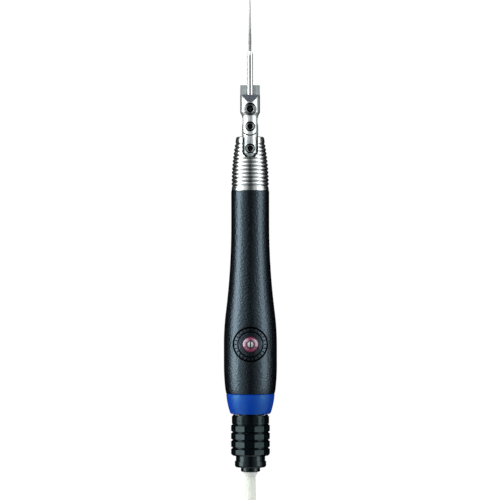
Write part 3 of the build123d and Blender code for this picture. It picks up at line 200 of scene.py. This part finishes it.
def plain_look(name, low, high, grain, roughness, metallic=0.0, relief=0.01, **sockets):
    """A surface whose colour and gloss drift from low to high over its grain."""
    look = Look(name, high, roughness, metallic, **sockets)
    drift = look.span(look.noise(grain), 0.3, 0.7)
    look.set("Base Color", look.blend(drift, low, high))
    look.set("Roughness", look.choose(drift, roughness * 1.25, roughness * 0.85))
    look.bump(look.noise(grain * 0.3), relief)
    return look


def turned_look(name, low, high, roughness, lines):
    """Bare metal with fine lines left by turning."""
    look = Look(name, high, roughness, 1.0)
    line = look.span(look.turned(lines), 0.3, 0.7)
    smear = look.span(look.noise(2.5), 0.3, 0.7)
    look.set("Base Color", look.blend(smear, low, high))
    look.set("Roughness", look.choose(line, roughness * 0.8, roughness * 1.25))
    look.bump(look.turned(lines * 0.5), lines * 0.02)
    return look


def file_look():
    """Polished shank, then a mottled coat of grit that pales toward the tip."""
    look = Look("file_steel", (0.7, 0.71, 0.71), 0.16, 1.0)
    along = look.axis("Y")
    grit = look.span(along, SHANK_END_Y - 0.0001, SHANK_END_Y + 0.0002)
    pale = look.span(along, SHANK_END_Y + 0.007, SHANK_END_Y + 0.013)
    speck = look.span(look.noise(0.35, detail=2.0), 0.35, 0.65)
    low = look.blend(speck, (0.07, 0.075, 0.08), (0.42, 0.43, 0.43))
    high = look.blend(speck, (0.3, 0.31, 0.31), (0.62, 0.63, 0.63))
    bright = look.blend(look.turned(0.3), (0.74, 0.75, 0.75), (0.82, 0.83, 0.83))
    look.set("Base Color", look.blend(grit, bright, look.blend(pale, low, high)))
    look.set("Roughness", look.choose(grit, 0.28, 0.5))
    look.bump(look.math("MULTIPLY", look.cells(0.12), grit), 0.05)
    return look


def holder_look():
    """Bright turned bar with a dull milled wall and a dark slant facet; painted shade turns its gaps and
    holes black.
    """
    look = Look("holder_steel", (0.55, 0.56, 0.56), 0.34, 1.0)
    line = look.span(look.turned(0.25), 0.3, 0.7)
    streak = look.span(look.noise(0.28, (1, 18, 1)), 0.35, 0.65)
    speck = look.span(look.noise(0.3), 0.35, 0.65)
    wall = look.facing((0, 0, 1))
    facet = look.facing(FACET_NORMAL)
    bright = look.blend(line, (0.76, 0.79, 0.8), (0.84, 0.87, 0.88))
    dull = look.blend(streak, (0.3, 0.33, 0.33), (0.52, 0.56, 0.56))
    dark = look.blend(speck, (0.05, 0.055, 0.075), (0.12, 0.13, 0.16))
    color = look.blend(wall, bright, dull)
    # Painted shade: the bar goes black in its gaps, holes and grooves.
    look.shade_gaps(look.blend(facet, color, dark))
    rough = look.choose(wall, look.choose(line, 0.38, 0.44), 0.5)
    look.set("Metallic", look.choose(look.math("MAXIMUM", wall, facet), 1.0, 0.3))
    look.set("Roughness", look.choose(facet, rough, 0.55))
    look.bump(look.turned(0.12), 0.003)
    look.bump(look.math("MULTIPLY", streak, wall), 0.012)
    look.bump(look.math("MULTIPLY", speck, facet), 0.02)
    return look


def screw_look():
    """Blackened steel with random smears; painted shade turns it black in its socket and where it sits
    close to the hole, so its open top stays brighter.
    """
    look = Look("black_screw_steel", (0.2, 0.21, 0.22), 0.25, 1.0)
    smear = look.span(look.noise(0.5), 0.3, 0.7)
    # Painted shade: black in the socket and where the screw sits close to the hole.
    look.shade_gaps(look.blend(smear, (0.2, 0.21, 0.22), (0.32, 0.34, 0.35)), 1.2, 0.6, 0.95)
    look.set("Roughness", look.choose(smear, 0.3, 0.22))
    look.bump(look.noise(0.15), 0.005)
    return look


def nose_look():
    """Bright aluminium with fine turning lines, and painted shade that turns the grooves between its
    ribs black.
    """
    look = Look("nose_aluminium", (0.86, 0.87, 0.88), 0.17, 1.0)
    line = look.span(look.turned(0.3), 0.3, 0.7)
    smear = look.span(look.noise(3.0, (1, 0.3, 1)), 0.3, 0.7)
    # Painted shade: the grooves between the ribs and the gaps round the nose go black.
    look.shade_gaps(look.blend(smear, (0.78, 0.8, 0.8), (0.88, 0.9, 0.9)), 0.8, 0.45, 0.9)
    look.set("Roughness", look.choose(line, 0.22, 0.28))
    look.bump(look.turned(0.1), 0.003)
    return look


def grip_look():
    """Black coat with a fine leathery grain; painted shade turns its grooves black, the dial's ticks
    among them, and the dial's two lines are drawn in black.
    """
    look = Look("grip_black", (0.003, 0.004, 0.005), 0.34, 0.0, Specular_IOR_Level=1.0, IOR=1.5)
    look.set("Specular Tint", (0.62, 0.83, 1.0, 1.0))
    grain = look.span(look.noise(0.85, detail=2.0), 0.3, 0.7)
    fine = look.noise(0.3, detail=2.0)
    drift = look.span(look.noise(6.0), 0.3, 0.7)
    # Painted shade: the grip's grooves and gaps, the dial's ticks among them, go black and lose their
    # reflection; the dial's two lines are drawn black over it.
    groove_shade_and_lines = look.span(look.open_air(0.5), 0.55, 0.85, 1.0, 0.0)
    for radius, half in DIAL_LINES:
        groove_shade_and_lines = look.math("MAXIMUM", groove_shade_and_lines, look.dial_line(radius, half))
    color = look.blend(drift, (0.0003, 0.0005, 0.0008), (0.0008, 0.0012, 0.002))
    look.set("Base Color", look.blend(groove_shade_and_lines, color, (0.0, 0.0, 0.0)))
    look.set("Metallic", groove_shade_and_lines)
    look.set("Roughness", look.choose(grain, 0.31, 0.25))
    look.bump(grain, 0.058)
    look.bump(fine, 0.012)
    return look


def lock_look():
    """Brushed and tarnished steel, with painted shade that turns its slot black."""
    look = Look("lock_steel", (0.6, 0.62, 0.63), 0.4, 0.45)
    line = look.span(look.turned(0.2, "X"), 0.3, 0.7)
    # Painted shade: the slot and other hollows go black.
    look.shade_gaps(look.blend(line, (0.5, 0.53, 0.56), (0.72, 0.75, 0.78)), 0.8, 0.55, 0.9)
    look.set("Roughness", look.choose(line, 0.32, 0.45))
    look.bump(look.turned(0.1, "X"), 0.004)
    return look


def ring_look():
    """Black coat, half gloss."""
    low, high = (0.001, 0.002, 0.003), (0.002, 0.004, 0.005)
    look = plain_look("ring_black", low, high, 1.2, 0.18, relief=0.008)
    look.set("Specular IOR Level", 0.32)
    look.set("Specular Tint", (0.68, 0.92, 1.0, 1.0))
    return look


def hose_look():
    """Milky plastic tube, slightly clear and faintly cloudy."""
    inside = {"Subsurface_Weight": 0.4, "Subsurface_Scale": 0.015}
    look = Look("hose_white", (0.8, 0.83, 0.77), 0.34, 0.0, **inside)
    cloud = look.span(look.noise(5.0), 0.3, 0.7)
    look.set("Subsurface Radius", (1.0, 1.0, 0.9))
    look.set("Specular IOR Level", 0.3)
    look.set("Base Color", look.blend(cloud, (0.7, 0.71, 0.63), (0.74, 0.75, 0.67)))
    look.set("Roughness", look.choose(cloud, 0.38, 0.3))
    look.bump(look.noise(0.8), 0.015)
    return look


TIE_THREAD = 0.0005


def tie_look():
    """Woven strap: two sets of threads that pass over and under each other."""
    look = Look("tie_black", (0.03, 0.03, 0.032), 0.8, 0.0, Sheen_Weight=0.4, Sheen_Roughness=0.5)
    thread = 2 * math.pi / TIE_THREAD
    across = look.math("SINE", look.math("MULTIPLY", look.axis("Y"), thread))
    slant = look.math("ADD", look.axis("X"), look.axis("Z"))
    around = look.math("SINE", look.math("MULTIPLY", slant, thread))
    weave = look.span(look.math("MULTIPLY", across, around), -1.0, 1.0)
    fuzz = look.noise(0.2, detail=2.0)
    look.set("Base Color", look.blend(weave, (0.014, 0.014, 0.016), (0.05, 0.05, 0.054)))
    look.set("Roughness", look.span(fuzz, 0.3, 0.7, 0.7, 0.9))
    look.bump(weave, 0.12)
    look.bump(fuzz, 0.03)
    return look


def felt_look():
    """Pressed felt."""
    look = plain_look("silencer_felt", (0.5, 0.5, 0.46), (0.68, 0.68, 0.63), 0.5, 0.9, relief=0.1)
    look.set("Sheen Weight", 0.3)
    return look


looks = {
    "file_steel": file_look(),
    "holder_steel": holder_look(),
    "black_screw_steel": screw_look(),
    "motor_steel": turned_look("motor_steel", (0.5, 0.5, 0.5), (0.62, 0.62, 0.62), 0.24, 0.2),
    "nose_aluminium": nose_look(),
    "seal_rubber": plain_look("seal_rubber", (0.02, 0.02, 0.02), (0.04, 0.04, 0.04), 0.6, 0.7),
    "bush_bronze": turned_look("bush_bronze", (0.48, 0.33, 0.15), (0.6, 0.44, 0.22), 0.28, 0.2),
    "spring_steel": plain_look("spring_steel", (0.42, 0.42, 0.42), (0.56, 0.56, 0.56), 0.4, 0.3, 1.0),
    "inner_aluminium": turned_look("inner_aluminium", (0.6, 0.6, 0.62), (0.74, 0.74, 0.76), 0.3, 0.25),
    "grip_black": grip_look(),
    "bezel_red": plain_look(
        "bezel_red", (0.2, 0.035, 0.08), (0.27, 0.055, 0.115), 1.5, 0.16, relief=0.003,
        Specular_IOR_Level=1.0, IOR=1.66, Specular_Tint=(0.82, 0.9, 1.0, 1.0)
    ),
    "lock_steel": lock_look(),
    "ring_blue": plain_look(
        "ring_blue", (0.0, 0.031, 0.3), (0.0, 0.04, 0.37), 1.5, 0.34, relief=0.006,
        Specular_Tint=(0.34, 1.0, 1.0, 1.0), Specular_IOR_Level=0.85
    ),
    "silencer_felt": felt_look(),
    "ring_black": ring_look(),
    "connector_black": plain_look(
        "connector_black", (0.001, 0.002, 0.003), (0.002, 0.004, 0.005), 1.0, 0.2, relief=0.004,
        Specular_Tint=(0.72, 0.93, 1.0, 1.0)
    ),
    "ferrule_white": plain_look(
        "ferrule_white", (0.78, 0.79, 0.77), (0.86, 0.87, 0.85), 2.0, 0.32, relief=0.006
    ),
    "hose_white": hose_look(),
    "tie_black": tie_look(),
    "coupler_metal": turned_look("coupler_metal", (0.55, 0.55, 0.53), (0.68, 0.68, 0.66), 0.2, 0.25),
}
for subpart in frame["record"]["subparts"]:
    node = frame["nodes"][subpart["node"]]
    node.data.materials.clear()
    node.data.materials.append(looks[subpart["material_slot"]].material)


def new_piece(name, data, look, body):
    """Links a new object that rides on a body and takes a record slot's finish."""
    piece = bpy.data.objects.new(name, data)
    scene.collection.objects.link(piece)
    data.materials.append(looks[look].material)
    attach(piece, body)
    return piece


def skin(mesh, rows, name):
    """Mesh data with faces between neighbouring rows of corners, closed at both ends."""
    for first, second in zip(rows, rows[1:]):
        for index in range(len(first)):
            after = (index + 1) % len(first)
            mesh.faces.new((first[index], first[after], second[after], second[index]))
    mesh.faces.new(rows[0])
    mesh.faces.new(reversed(rows[-1]))
    bmesh.ops.recalc_face_normals(mesh, faces=mesh.faces)
    data = bpy.data.meshes.new(name)
    mesh.to_mesh(data)
    mesh.free()
    data.shade_smooth()
    return data


# Hose: straight out of the tail, down to the table, then a hank in line with the tool
HOSE_D = 0.004
HOSE_ROUTE = [
    (0.0, -0.09157, AXIS_Z),
    (0.0, -0.1073, AXIS_Z),
    (0.0012, -0.1228, 0.0074),
    (0.0056, -0.138, 0.0037),
    (0.0116875, -0.153, 0.0029),
    (0.0116875, -0.1678, 0.0029),
]
HANK_RUNS = 13
HANK_LAYER_RUNS = 3
HANK_PITCH = 0.00455
HANK_OUTER = 0.0176875
HANK_SHIFT = -0.006
HANK_DRAW = 0.00225
HANK_FLOOR = 0.0029
NEAR_FOLD_Y = -0.158
WAIST_Y = -0.19
FAR_FOLD_Y = -0.222
TAIL_Y = -0.197
TAIL_CLIMB_Y = -0.185
TAIL_Z = 0.02175
FOLD_POINTS = 4
FOLD_STEP = math.pi / FOLD_POINTS
# A waist's control point stands further in, and lower on a climb, than the line it draws
WAIST_REACH = 8 / 6
WAIST_DIP = 1 / 6


def hank_run(run):
    """Side and distance from the hank's middle of one run."""
    inward = run % (2 * HANK_LAYER_RUNS)
    steps = min(inward, 2 * HANK_LAYER_RUNS - inward)
    side = 1 if run % 2 == 0 else -1
    return side, side * (HANK_OUTER - steps * HANK_PITCH / 2)


def hose_points():
    """Control points of the hose: its route, then each run and fold of the hank."""
    points = [Vector(point) for point in HOSE_ROUTE]
    level = HANK_FLOOR
    for run in range(HANK_RUNS):
        side, run_x = hank_run(run)
        start_y, end_y = (NEAR_FOLD_Y, FAR_FOLD_Y) if side > 0 else (FAR_FOLD_Y, NEAR_FOLD_Y)
        if run > 0:
            lead = abs(run_x - hank_run(run - 1)[1]) / 2 * math.tan(FOLD_STEP / 2)
            points.append(Vector((HANK_SHIFT + run_x, start_y - side * lead, level)))
        if run == HANK_RUNS - 1:
            waist_x = HANK_SHIFT + run_x - side * HANK_DRAW
            points.append(Vector((waist_x, TAIL_CLIMB_Y, TAIL_Z)))
            points.append(Vector((waist_x, TAIL_Y, TAIL_Z)))
            break
        climb = HANK_PITCH if run > 0 and run % HANK_LAYER_RUNS == 0 else 0.0
        waist_x = HANK_SHIFT + run_x - side * HANK_DRAW * WAIST_REACH
        points.append(Vector((waist_x, WAIST_Y, level - climb * WAIST_DIP)))
        level += climb
        next_x = hank_run(run + 1)[1]
        middle_x = HANK_SHIFT + (run_x + next_x) / 2
        radius = abs(run_x - next_x) / 2
        lead = radius * math.tan(FOLD_STEP / 2)
        points.append(Vector((HANK_SHIFT + run_x, end_y + side * lead, level)))
        reach = radius / math.cos(FOLD_STEP / 2)
        for step in range(FOLD_POINTS):
            turn = FOLD_STEP * (step + 0.5)
            fold_x = middle_x + side * reach * math.cos(turn)
            points.append(Vector((fold_x, end_y - side * reach * math.sin(turn), level)))
    return points


HOSE_SMOOTHNESS = 8
HOSE_ROUNDNESS = 6
hose_curve = bpy.data.curves.new("hose", "CURVE")
hose_curve.dimensions = "3D"
hose_curve.resolution_u = HOSE_SMOOTHNESS
hose_curve.bevel_depth = HOSE_D / 2
hose_curve.bevel_resolution = HOSE_ROUNDNESS
hose_curve.use_fill_caps = True
route = hose_points()
spline = hose_curve.splines.new("NURBS")
spline.points.add(len(route) - 1)
for point, place in zip(spline.points, route):
    point.co = (*place, 1.0)
spline.order_u = 3
spline.use_endpoint_u = True
hose = new_piece("hose", hose_curve, "hose_white", "housing")
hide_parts("air_hose", "air_hose_hank")

# Tie: a woven strap once round the hank's waist, with its end laid over on top
TIE_WIDTH = 0.01
TIE_THICKNESS = 0.0006
TIE_CORNER = 0.0026
TIE_OVERLAP = 0.014
TIE_CORNER_PARTS = 6
TIE_RIB = 0.0009
TIE_RIB_DEPTH = 0.12
# Stations across the strap, as shares of its half width, and how thin it is at and near its edges
TIE_ACROSS = (-1.0, -0.97, -0.86, -0.6, -0.3, 0.0, 0.3, 0.6, 0.86, 0.97, 1.0)
TIE_EDGE = 0.35
TIE_NEAR_EDGE = 0.8
TIE_NEAR_EDGE_FROM = 0.9
# The laid-over end: its lift over the first layer, and where it rises and its tip stands off
TIE_LIFT = TIE_THICKNESS * 1.15
TIE_RISE_START = 0.002
TIE_RISE_END = 0.006
TIE_RISE_SHARE = 0.8
TIE_TIP_START = 0.002
TIE_TIP_END = 0.0002
TIE_TIP_SHARE = 1.35
tie_low, tie_high = (Vector(corner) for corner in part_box("hose_tie"))


def strap_line(step):
    """Middle line of the strap's thickness: once round the hank and on over its start."""
    half = TIE_THICKNESS / 2
    left, right = tie_low.x + half, tie_high.x - half
    bottom, top = tie_low.z + half, tie_high.z - half
    corners = [
        (right, top, 90),
        (right, bottom, 0),
        (left, bottom, -90),
        (left, top, -180),
    ]
    start_x = left + TIE_CORNER + TIE_OVERLAP
    points = [Vector((start_x, 0, top))]
    for x, z, turn in corners:
        centre_x = x + (-TIE_CORNER if x == right else TIE_CORNER)
        centre_z = z + (-TIE_CORNER if z == top else TIE_CORNER)
        centre = Vector((centre_x, 0, centre_z))
        for part in range(TIE_CORNER_PARTS + 1):
            angle = math.radians(turn - 90 * part / TIE_CORNER_PARTS)
            points.append(centre + Vector((math.cos(angle), 0, math.sin(angle))) * TIE_CORNER)
    laid_over = [
        (left + TIE_CORNER + TIE_RISE_START, TIE_RISE_SHARE),
        (left + TIE_CORNER + TIE_RISE_END, 1.0),
        (start_x - TIE_TIP_START, 1.0),
        (start_x - TIE_TIP_END, TIE_TIP_SHARE),
    ]
    points += [Vector((x, 0, top + TIE_LIFT * share)) for x, share in laid_over]
    even = [points[0]]
    for first, second in zip(points, points[1:]):
        count = max(1, round((second - first).length / step))
        even += [first.lerp(second, (part + 1) / count) for part in range(count)]
    return even


def build_tie():
    """Sweeps the strap's section, with its woven ribs and thin edges, along its line."""
    line = strap_line(TIE_RIB / 3)
    mesh = bmesh.new()
    rows = []
    along = 0.0
    for index, point in enumerate(line):
        before, after = line[max(index - 1, 0)], line[min(index + 1, len(line) - 1)]
        run = (after - before).normalized()
        out = Vector((-run.z, 0, run.x))
        along += (point - before).length
        rib = 0.5 + 0.5 * math.cos(2 * math.pi * along / TIE_RIB)
        row = []
        for side in (1, -1):
            for share in TIE_ACROSS if side > 0 else reversed(TIE_ACROSS):
                edge = TIE_NEAR_EDGE if abs(share) > TIE_NEAR_EDGE_FROM else 1.0
                if abs(share) == 1.0:
                    edge = TIE_EDGE
                raised = edge * (0.5 - TIE_RIB_DEPTH * (1 - rib)) * TIE_THICKNESS
                place = point + out * side * raised + Vector((0, WAIST_Y + share * TIE_WIDTH / 2, 0))
                row.append(mesh.verts.new(place))
        rows.append(row)
    return skin(mesh, rows, "strap_tie")


tie = new_piece("strap_tie", build_tie(), "tie_black", "housing")
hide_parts("hose_tie")

# Return spring: a wire helix
SPRING_TURNS = 6
SPRING_WIRE_D = 0.0008
SPRING_STEPS = 192
SPRING_SIDES = 12
spring_low, spring_high = (Vector(corner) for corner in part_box("return_spring"))


def build_spring():
    """Sweeps the round wire along its helix."""
    mesh = bmesh.new()
    half = SPRING_WIRE_D / 2
    radius = (spring_high.x - spring_low.x) / 2 - half
    climb = spring_high.y - spring_low.y - SPRING_WIRE_D
    slope = climb / (2 * math.pi * SPRING_TURNS * radius)
    rows = []
    for step in range(SPRING_STEPS + 1):
        turn = 2 * math.pi * SPRING_TURNS * step / SPRING_STEPS
        out = Vector((math.cos(turn), 0, math.sin(turn)))
        ahead = Vector((-math.sin(turn), slope, math.cos(turn))).normalized()
        aside = ahead.cross(out)
        centre = out * radius + Vector((0, spring_low.y + half + climb * step / SPRING_STEPS, AXIS_Z))
        row = []
        for side in range(SPRING_SIDES):
            angle = 2 * math.pi * side / SPRING_SIDES
            row.append(mesh.verts.new(centre + (out * math.cos(angle) + aside * math.sin(angle)) * half))
        rows.append(row)
    return skin(mesh, rows, "spring_wire")


spring = new_piece("spring_wire", build_spring(), "spring_steel", "housing")
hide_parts("return_spring")
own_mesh(spring)

# Stage: a pale floor, dark sheets that only reflections show, which paint dark reflections beside the
# tool, three lamps, and a world that is dark overhead, brighter at the sides and brightest ahead of the
# tool
FLOOR_SIZE = 6.0
FLOOR_DROP = 0.00002
FLOOR_COLOR = (0.85, 0.85, 0.85, 1.0)
FLOOR_GLOW = 1.03
FLOOR_GLOW_SHARE = 0.95
# Dark sheets beside the tool, seen only in reflections: painted dark reflections along its sides
DARK_SHEET_GAP = 0.006
DARK_SHEET_REACH = 0.25
DARK_SHEET_HALF_LENGTH = 0.14
DARK_REFLECTION_COLOR = (0.004, 0.005, 0.006, 1.0)


def flat_sheet(name, x_low, x_high, y_low, y_high, height):
    """Level rectangle that belongs to the stage."""
    data = bpy.data.meshes.new(name)
    flat = [(x_low, y_low), (x_high, y_low), (x_high, y_high), (x_low, y_high)]
    data.from_pydata([(x, y, height) for x, y in flat], [], [(0, 1, 2, 3)])
    sheet = bpy.data.objects.new(name, data)
    scene.collection.objects.link(sheet)
    return sheet


def floor_material():
    """White to camera, glossy and transmission rays, and matt to all others."""
    material = bpy.data.materials.new("floor")
    material.use_nodes = True
    nodes, links = material.node_tree.nodes, material.node_tree.links
    nodes.clear()
    rays = nodes.new("ShaderNodeLightPath")
    first = nodes.new("ShaderNodeMath")
    first.operation = "MAXIMUM"
    links.new(rays.outputs["Is Camera Ray"], first.inputs[0])
    links.new(rays.outputs["Is Glossy Ray"], first.inputs[1])
    second = nodes.new("ShaderNodeMath")
    second.operation = "MAXIMUM"
    links.new(first.outputs[0], second.inputs[0])
    links.new(rays.outputs["Is Transmission Ray"], second.inputs[1])
    share = nodes.new("ShaderNodeMath")
    share.operation = "MULTIPLY"
    links.new(second.outputs[0], share.inputs[0])
    share.inputs[1].default_value = FLOOR_GLOW_SHARE
    matte = nodes.new("ShaderNodeBsdfDiffuse")
    matte.inputs["Color"].default_value = FLOOR_COLOR
    glow = nodes.new("ShaderNodeEmission")
    glow.inputs["Strength"].default_value = FLOOR_GLOW
    mix = nodes.new("ShaderNodeMixShader")
    links.new(share.outputs[0], mix.inputs[0])
    links.new(matte.outputs[0], mix.inputs[1])
    links.new(glow.outputs[0], mix.inputs[2])
    out = nodes.new("ShaderNodeOutputMaterial")
    links.new(mix.outputs[0], out.inputs["Surface"])
    return material


floor = flat_sheet("floor", -FLOOR_SIZE, FLOOR_SIZE, -FLOOR_SIZE, FLOOR_SIZE, -FLOOR_DROP)
floor.data.materials.append(floor_material())


def paint_dark_reflections():
    """Two dark sheets flat beside the tool, which only reflections show: painted dark reflections along
    the tool's sides.
    """
    material = bpy.data.materials.new("painted_dark_reflection")
    material.use_nodes = True
    nodes, links = material.node_tree.nodes, material.node_tree.links
    nodes.clear()
    black = nodes.new("ShaderNodeBsdfDiffuse")
    black.inputs["Color"].default_value = DARK_REFLECTION_COLOR
    out = nodes.new("ShaderNodeOutputMaterial")
    links.new(black.outputs[0], out.inputs["Surface"])
    sides = (("dark_reflection_left", -DARK_SHEET_REACH, -DARK_SHEET_GAP), ("dark_reflection_right", DARK_SHEET_GAP, DARK_SHEET_REACH))
    for name, x_low, x_high in sides:
        dark_sheet = flat_sheet(name, x_low, x_high, -DARK_SHEET_HALF_LENGTH, DARK_SHEET_HALF_LENGTH, 0.0)
        dark_sheet.data.materials.append(material)
        dark_sheet.visible_camera = False
        dark_sheet.visible_diffuse = False
        dark_sheet.visible_shadow = False


paint_dark_reflections()

LAMP_LENGTH = 0.64
LAMP_Y = 0.12
LAMP_DISTANCE = 0.55
LAMP_COLOR = (0.97, 1.0, 1.0)
# Name, tilt from straight above in degrees, height in metres, power in watts
SIDE_LAMPS = (("lamp_left", -72, 0.3, 2.55), ("lamp_right", 64, 0.24, 1.3))
FILL_SIZE = 1.2
FILL_HEIGHT = 1.3
FILL_POWER = 2.8


def side_lamp(name, tilt, height, power):
    """Long soft lamp beside the tool, a tilt in degrees from straight above, turned to the tool."""
    lamp = bpy.data.lights.new(name, "AREA")
    lamp.shape = "RECTANGLE"
    lamp.size = height
    lamp.size_y = LAMP_LENGTH
    lamp.energy = power
    lamp.color = LAMP_COLOR
    lamp_object = bpy.data.objects.new(name, lamp)
    scene.collection.objects.link(lamp_object)
    angle = math.radians(tilt)
    across, up = LAMP_DISTANCE * math.sin(angle), LAMP_DISTANCE * math.cos(angle)
    lamp_object.location = (across, LAMP_Y, AXIS_Z + up)
    lamp_object.rotation_euler = (0, angle, 0)
    lamp_object.visible_camera = False


for side_values in SIDE_LAMPS:
    side_lamp(*side_values)


def fill_lamp():
    """Broad overhead lamp that lights matt surfaces and leaves no mirror image."""
    lamp = bpy.data.lights.new("lamp_fill", "AREA")
    lamp.size = FILL_SIZE
    lamp.energy = FILL_POWER
    lamp_object = bpy.data.objects.new("lamp_fill", lamp)
    scene.collection.objects.link(lamp_object)
    lamp_object.location = (0, 0, FILL_HEIGHT)
    lamp_object.visible_camera = False
    lamp_object.visible_glossy = False


fill_lamp()

# Brightness of the world from the left (-1) over the top (0) to the right (1)
GLOW = [
    (-0.8, 0.7),
    (-0.56, 0.62),
    (-0.38, 0.36),
    (-0.2, 0.06),
    (-0.06, 0.003),
    (0.06, 0.003),
    (0.2, 0.05),
    (0.38, 0.24),
    (0.56, 0.42),
    (0.8, 0.5),
]
GLOW_RED = 0.95
# Where the world brightens toward the front, as a share of straight ahead, and by how much
AHEAD_START = 0.24
AHEAD_END = 0.5
AHEAD_STRENGTH = 4.0


def studio_world():
    world = bpy.data.worlds.new("studio")
    scene.world = world
    world.use_nodes = True
    nodes, links = world.node_tree.nodes, world.node_tree.links
    place = nodes.new("ShaderNodeTexCoord")
    split = nodes.new("ShaderNodeSeparateXYZ")
    links.new(place.outputs["Generated"], split.inputs[0])
    across = nodes.new("ShaderNodeMapRange")
    across.inputs["From Min"].default_value = -1.0
    links.new(split.outputs["X"], across.inputs["Value"])
    ramp = nodes.new("ShaderNodeValToRGB")
    links.new(across.outputs[0], ramp.inputs[0])
    stops = ramp.color_ramp.elements
    for side, glow in GLOW:
        stops.new((side + 1) / 2).color = (GLOW_RED * glow, glow, glow, 1.0)
    stops.remove(stops[-1])
    stops.remove(stops[0])
    links.new(ramp.outputs[0], nodes["Background"].inputs["Color"])
    ahead = nodes.new("ShaderNodeMapRange")
    ahead.inputs["From Min"].default_value = AHEAD_START
    ahead.inputs["From Max"].default_value = AHEAD_END
    ahead.inputs["To Min"].default_value = 1.0
    ahead.inputs["To Max"].default_value = AHEAD_STRENGTH
    links.new(split.outputs["Y"], ahead.inputs["Value"])
    links.new(ahead.outputs[0], nodes["Background"].inputs["Strength"])


studio_world()
scene.view_settings.view_transform = "Standard"
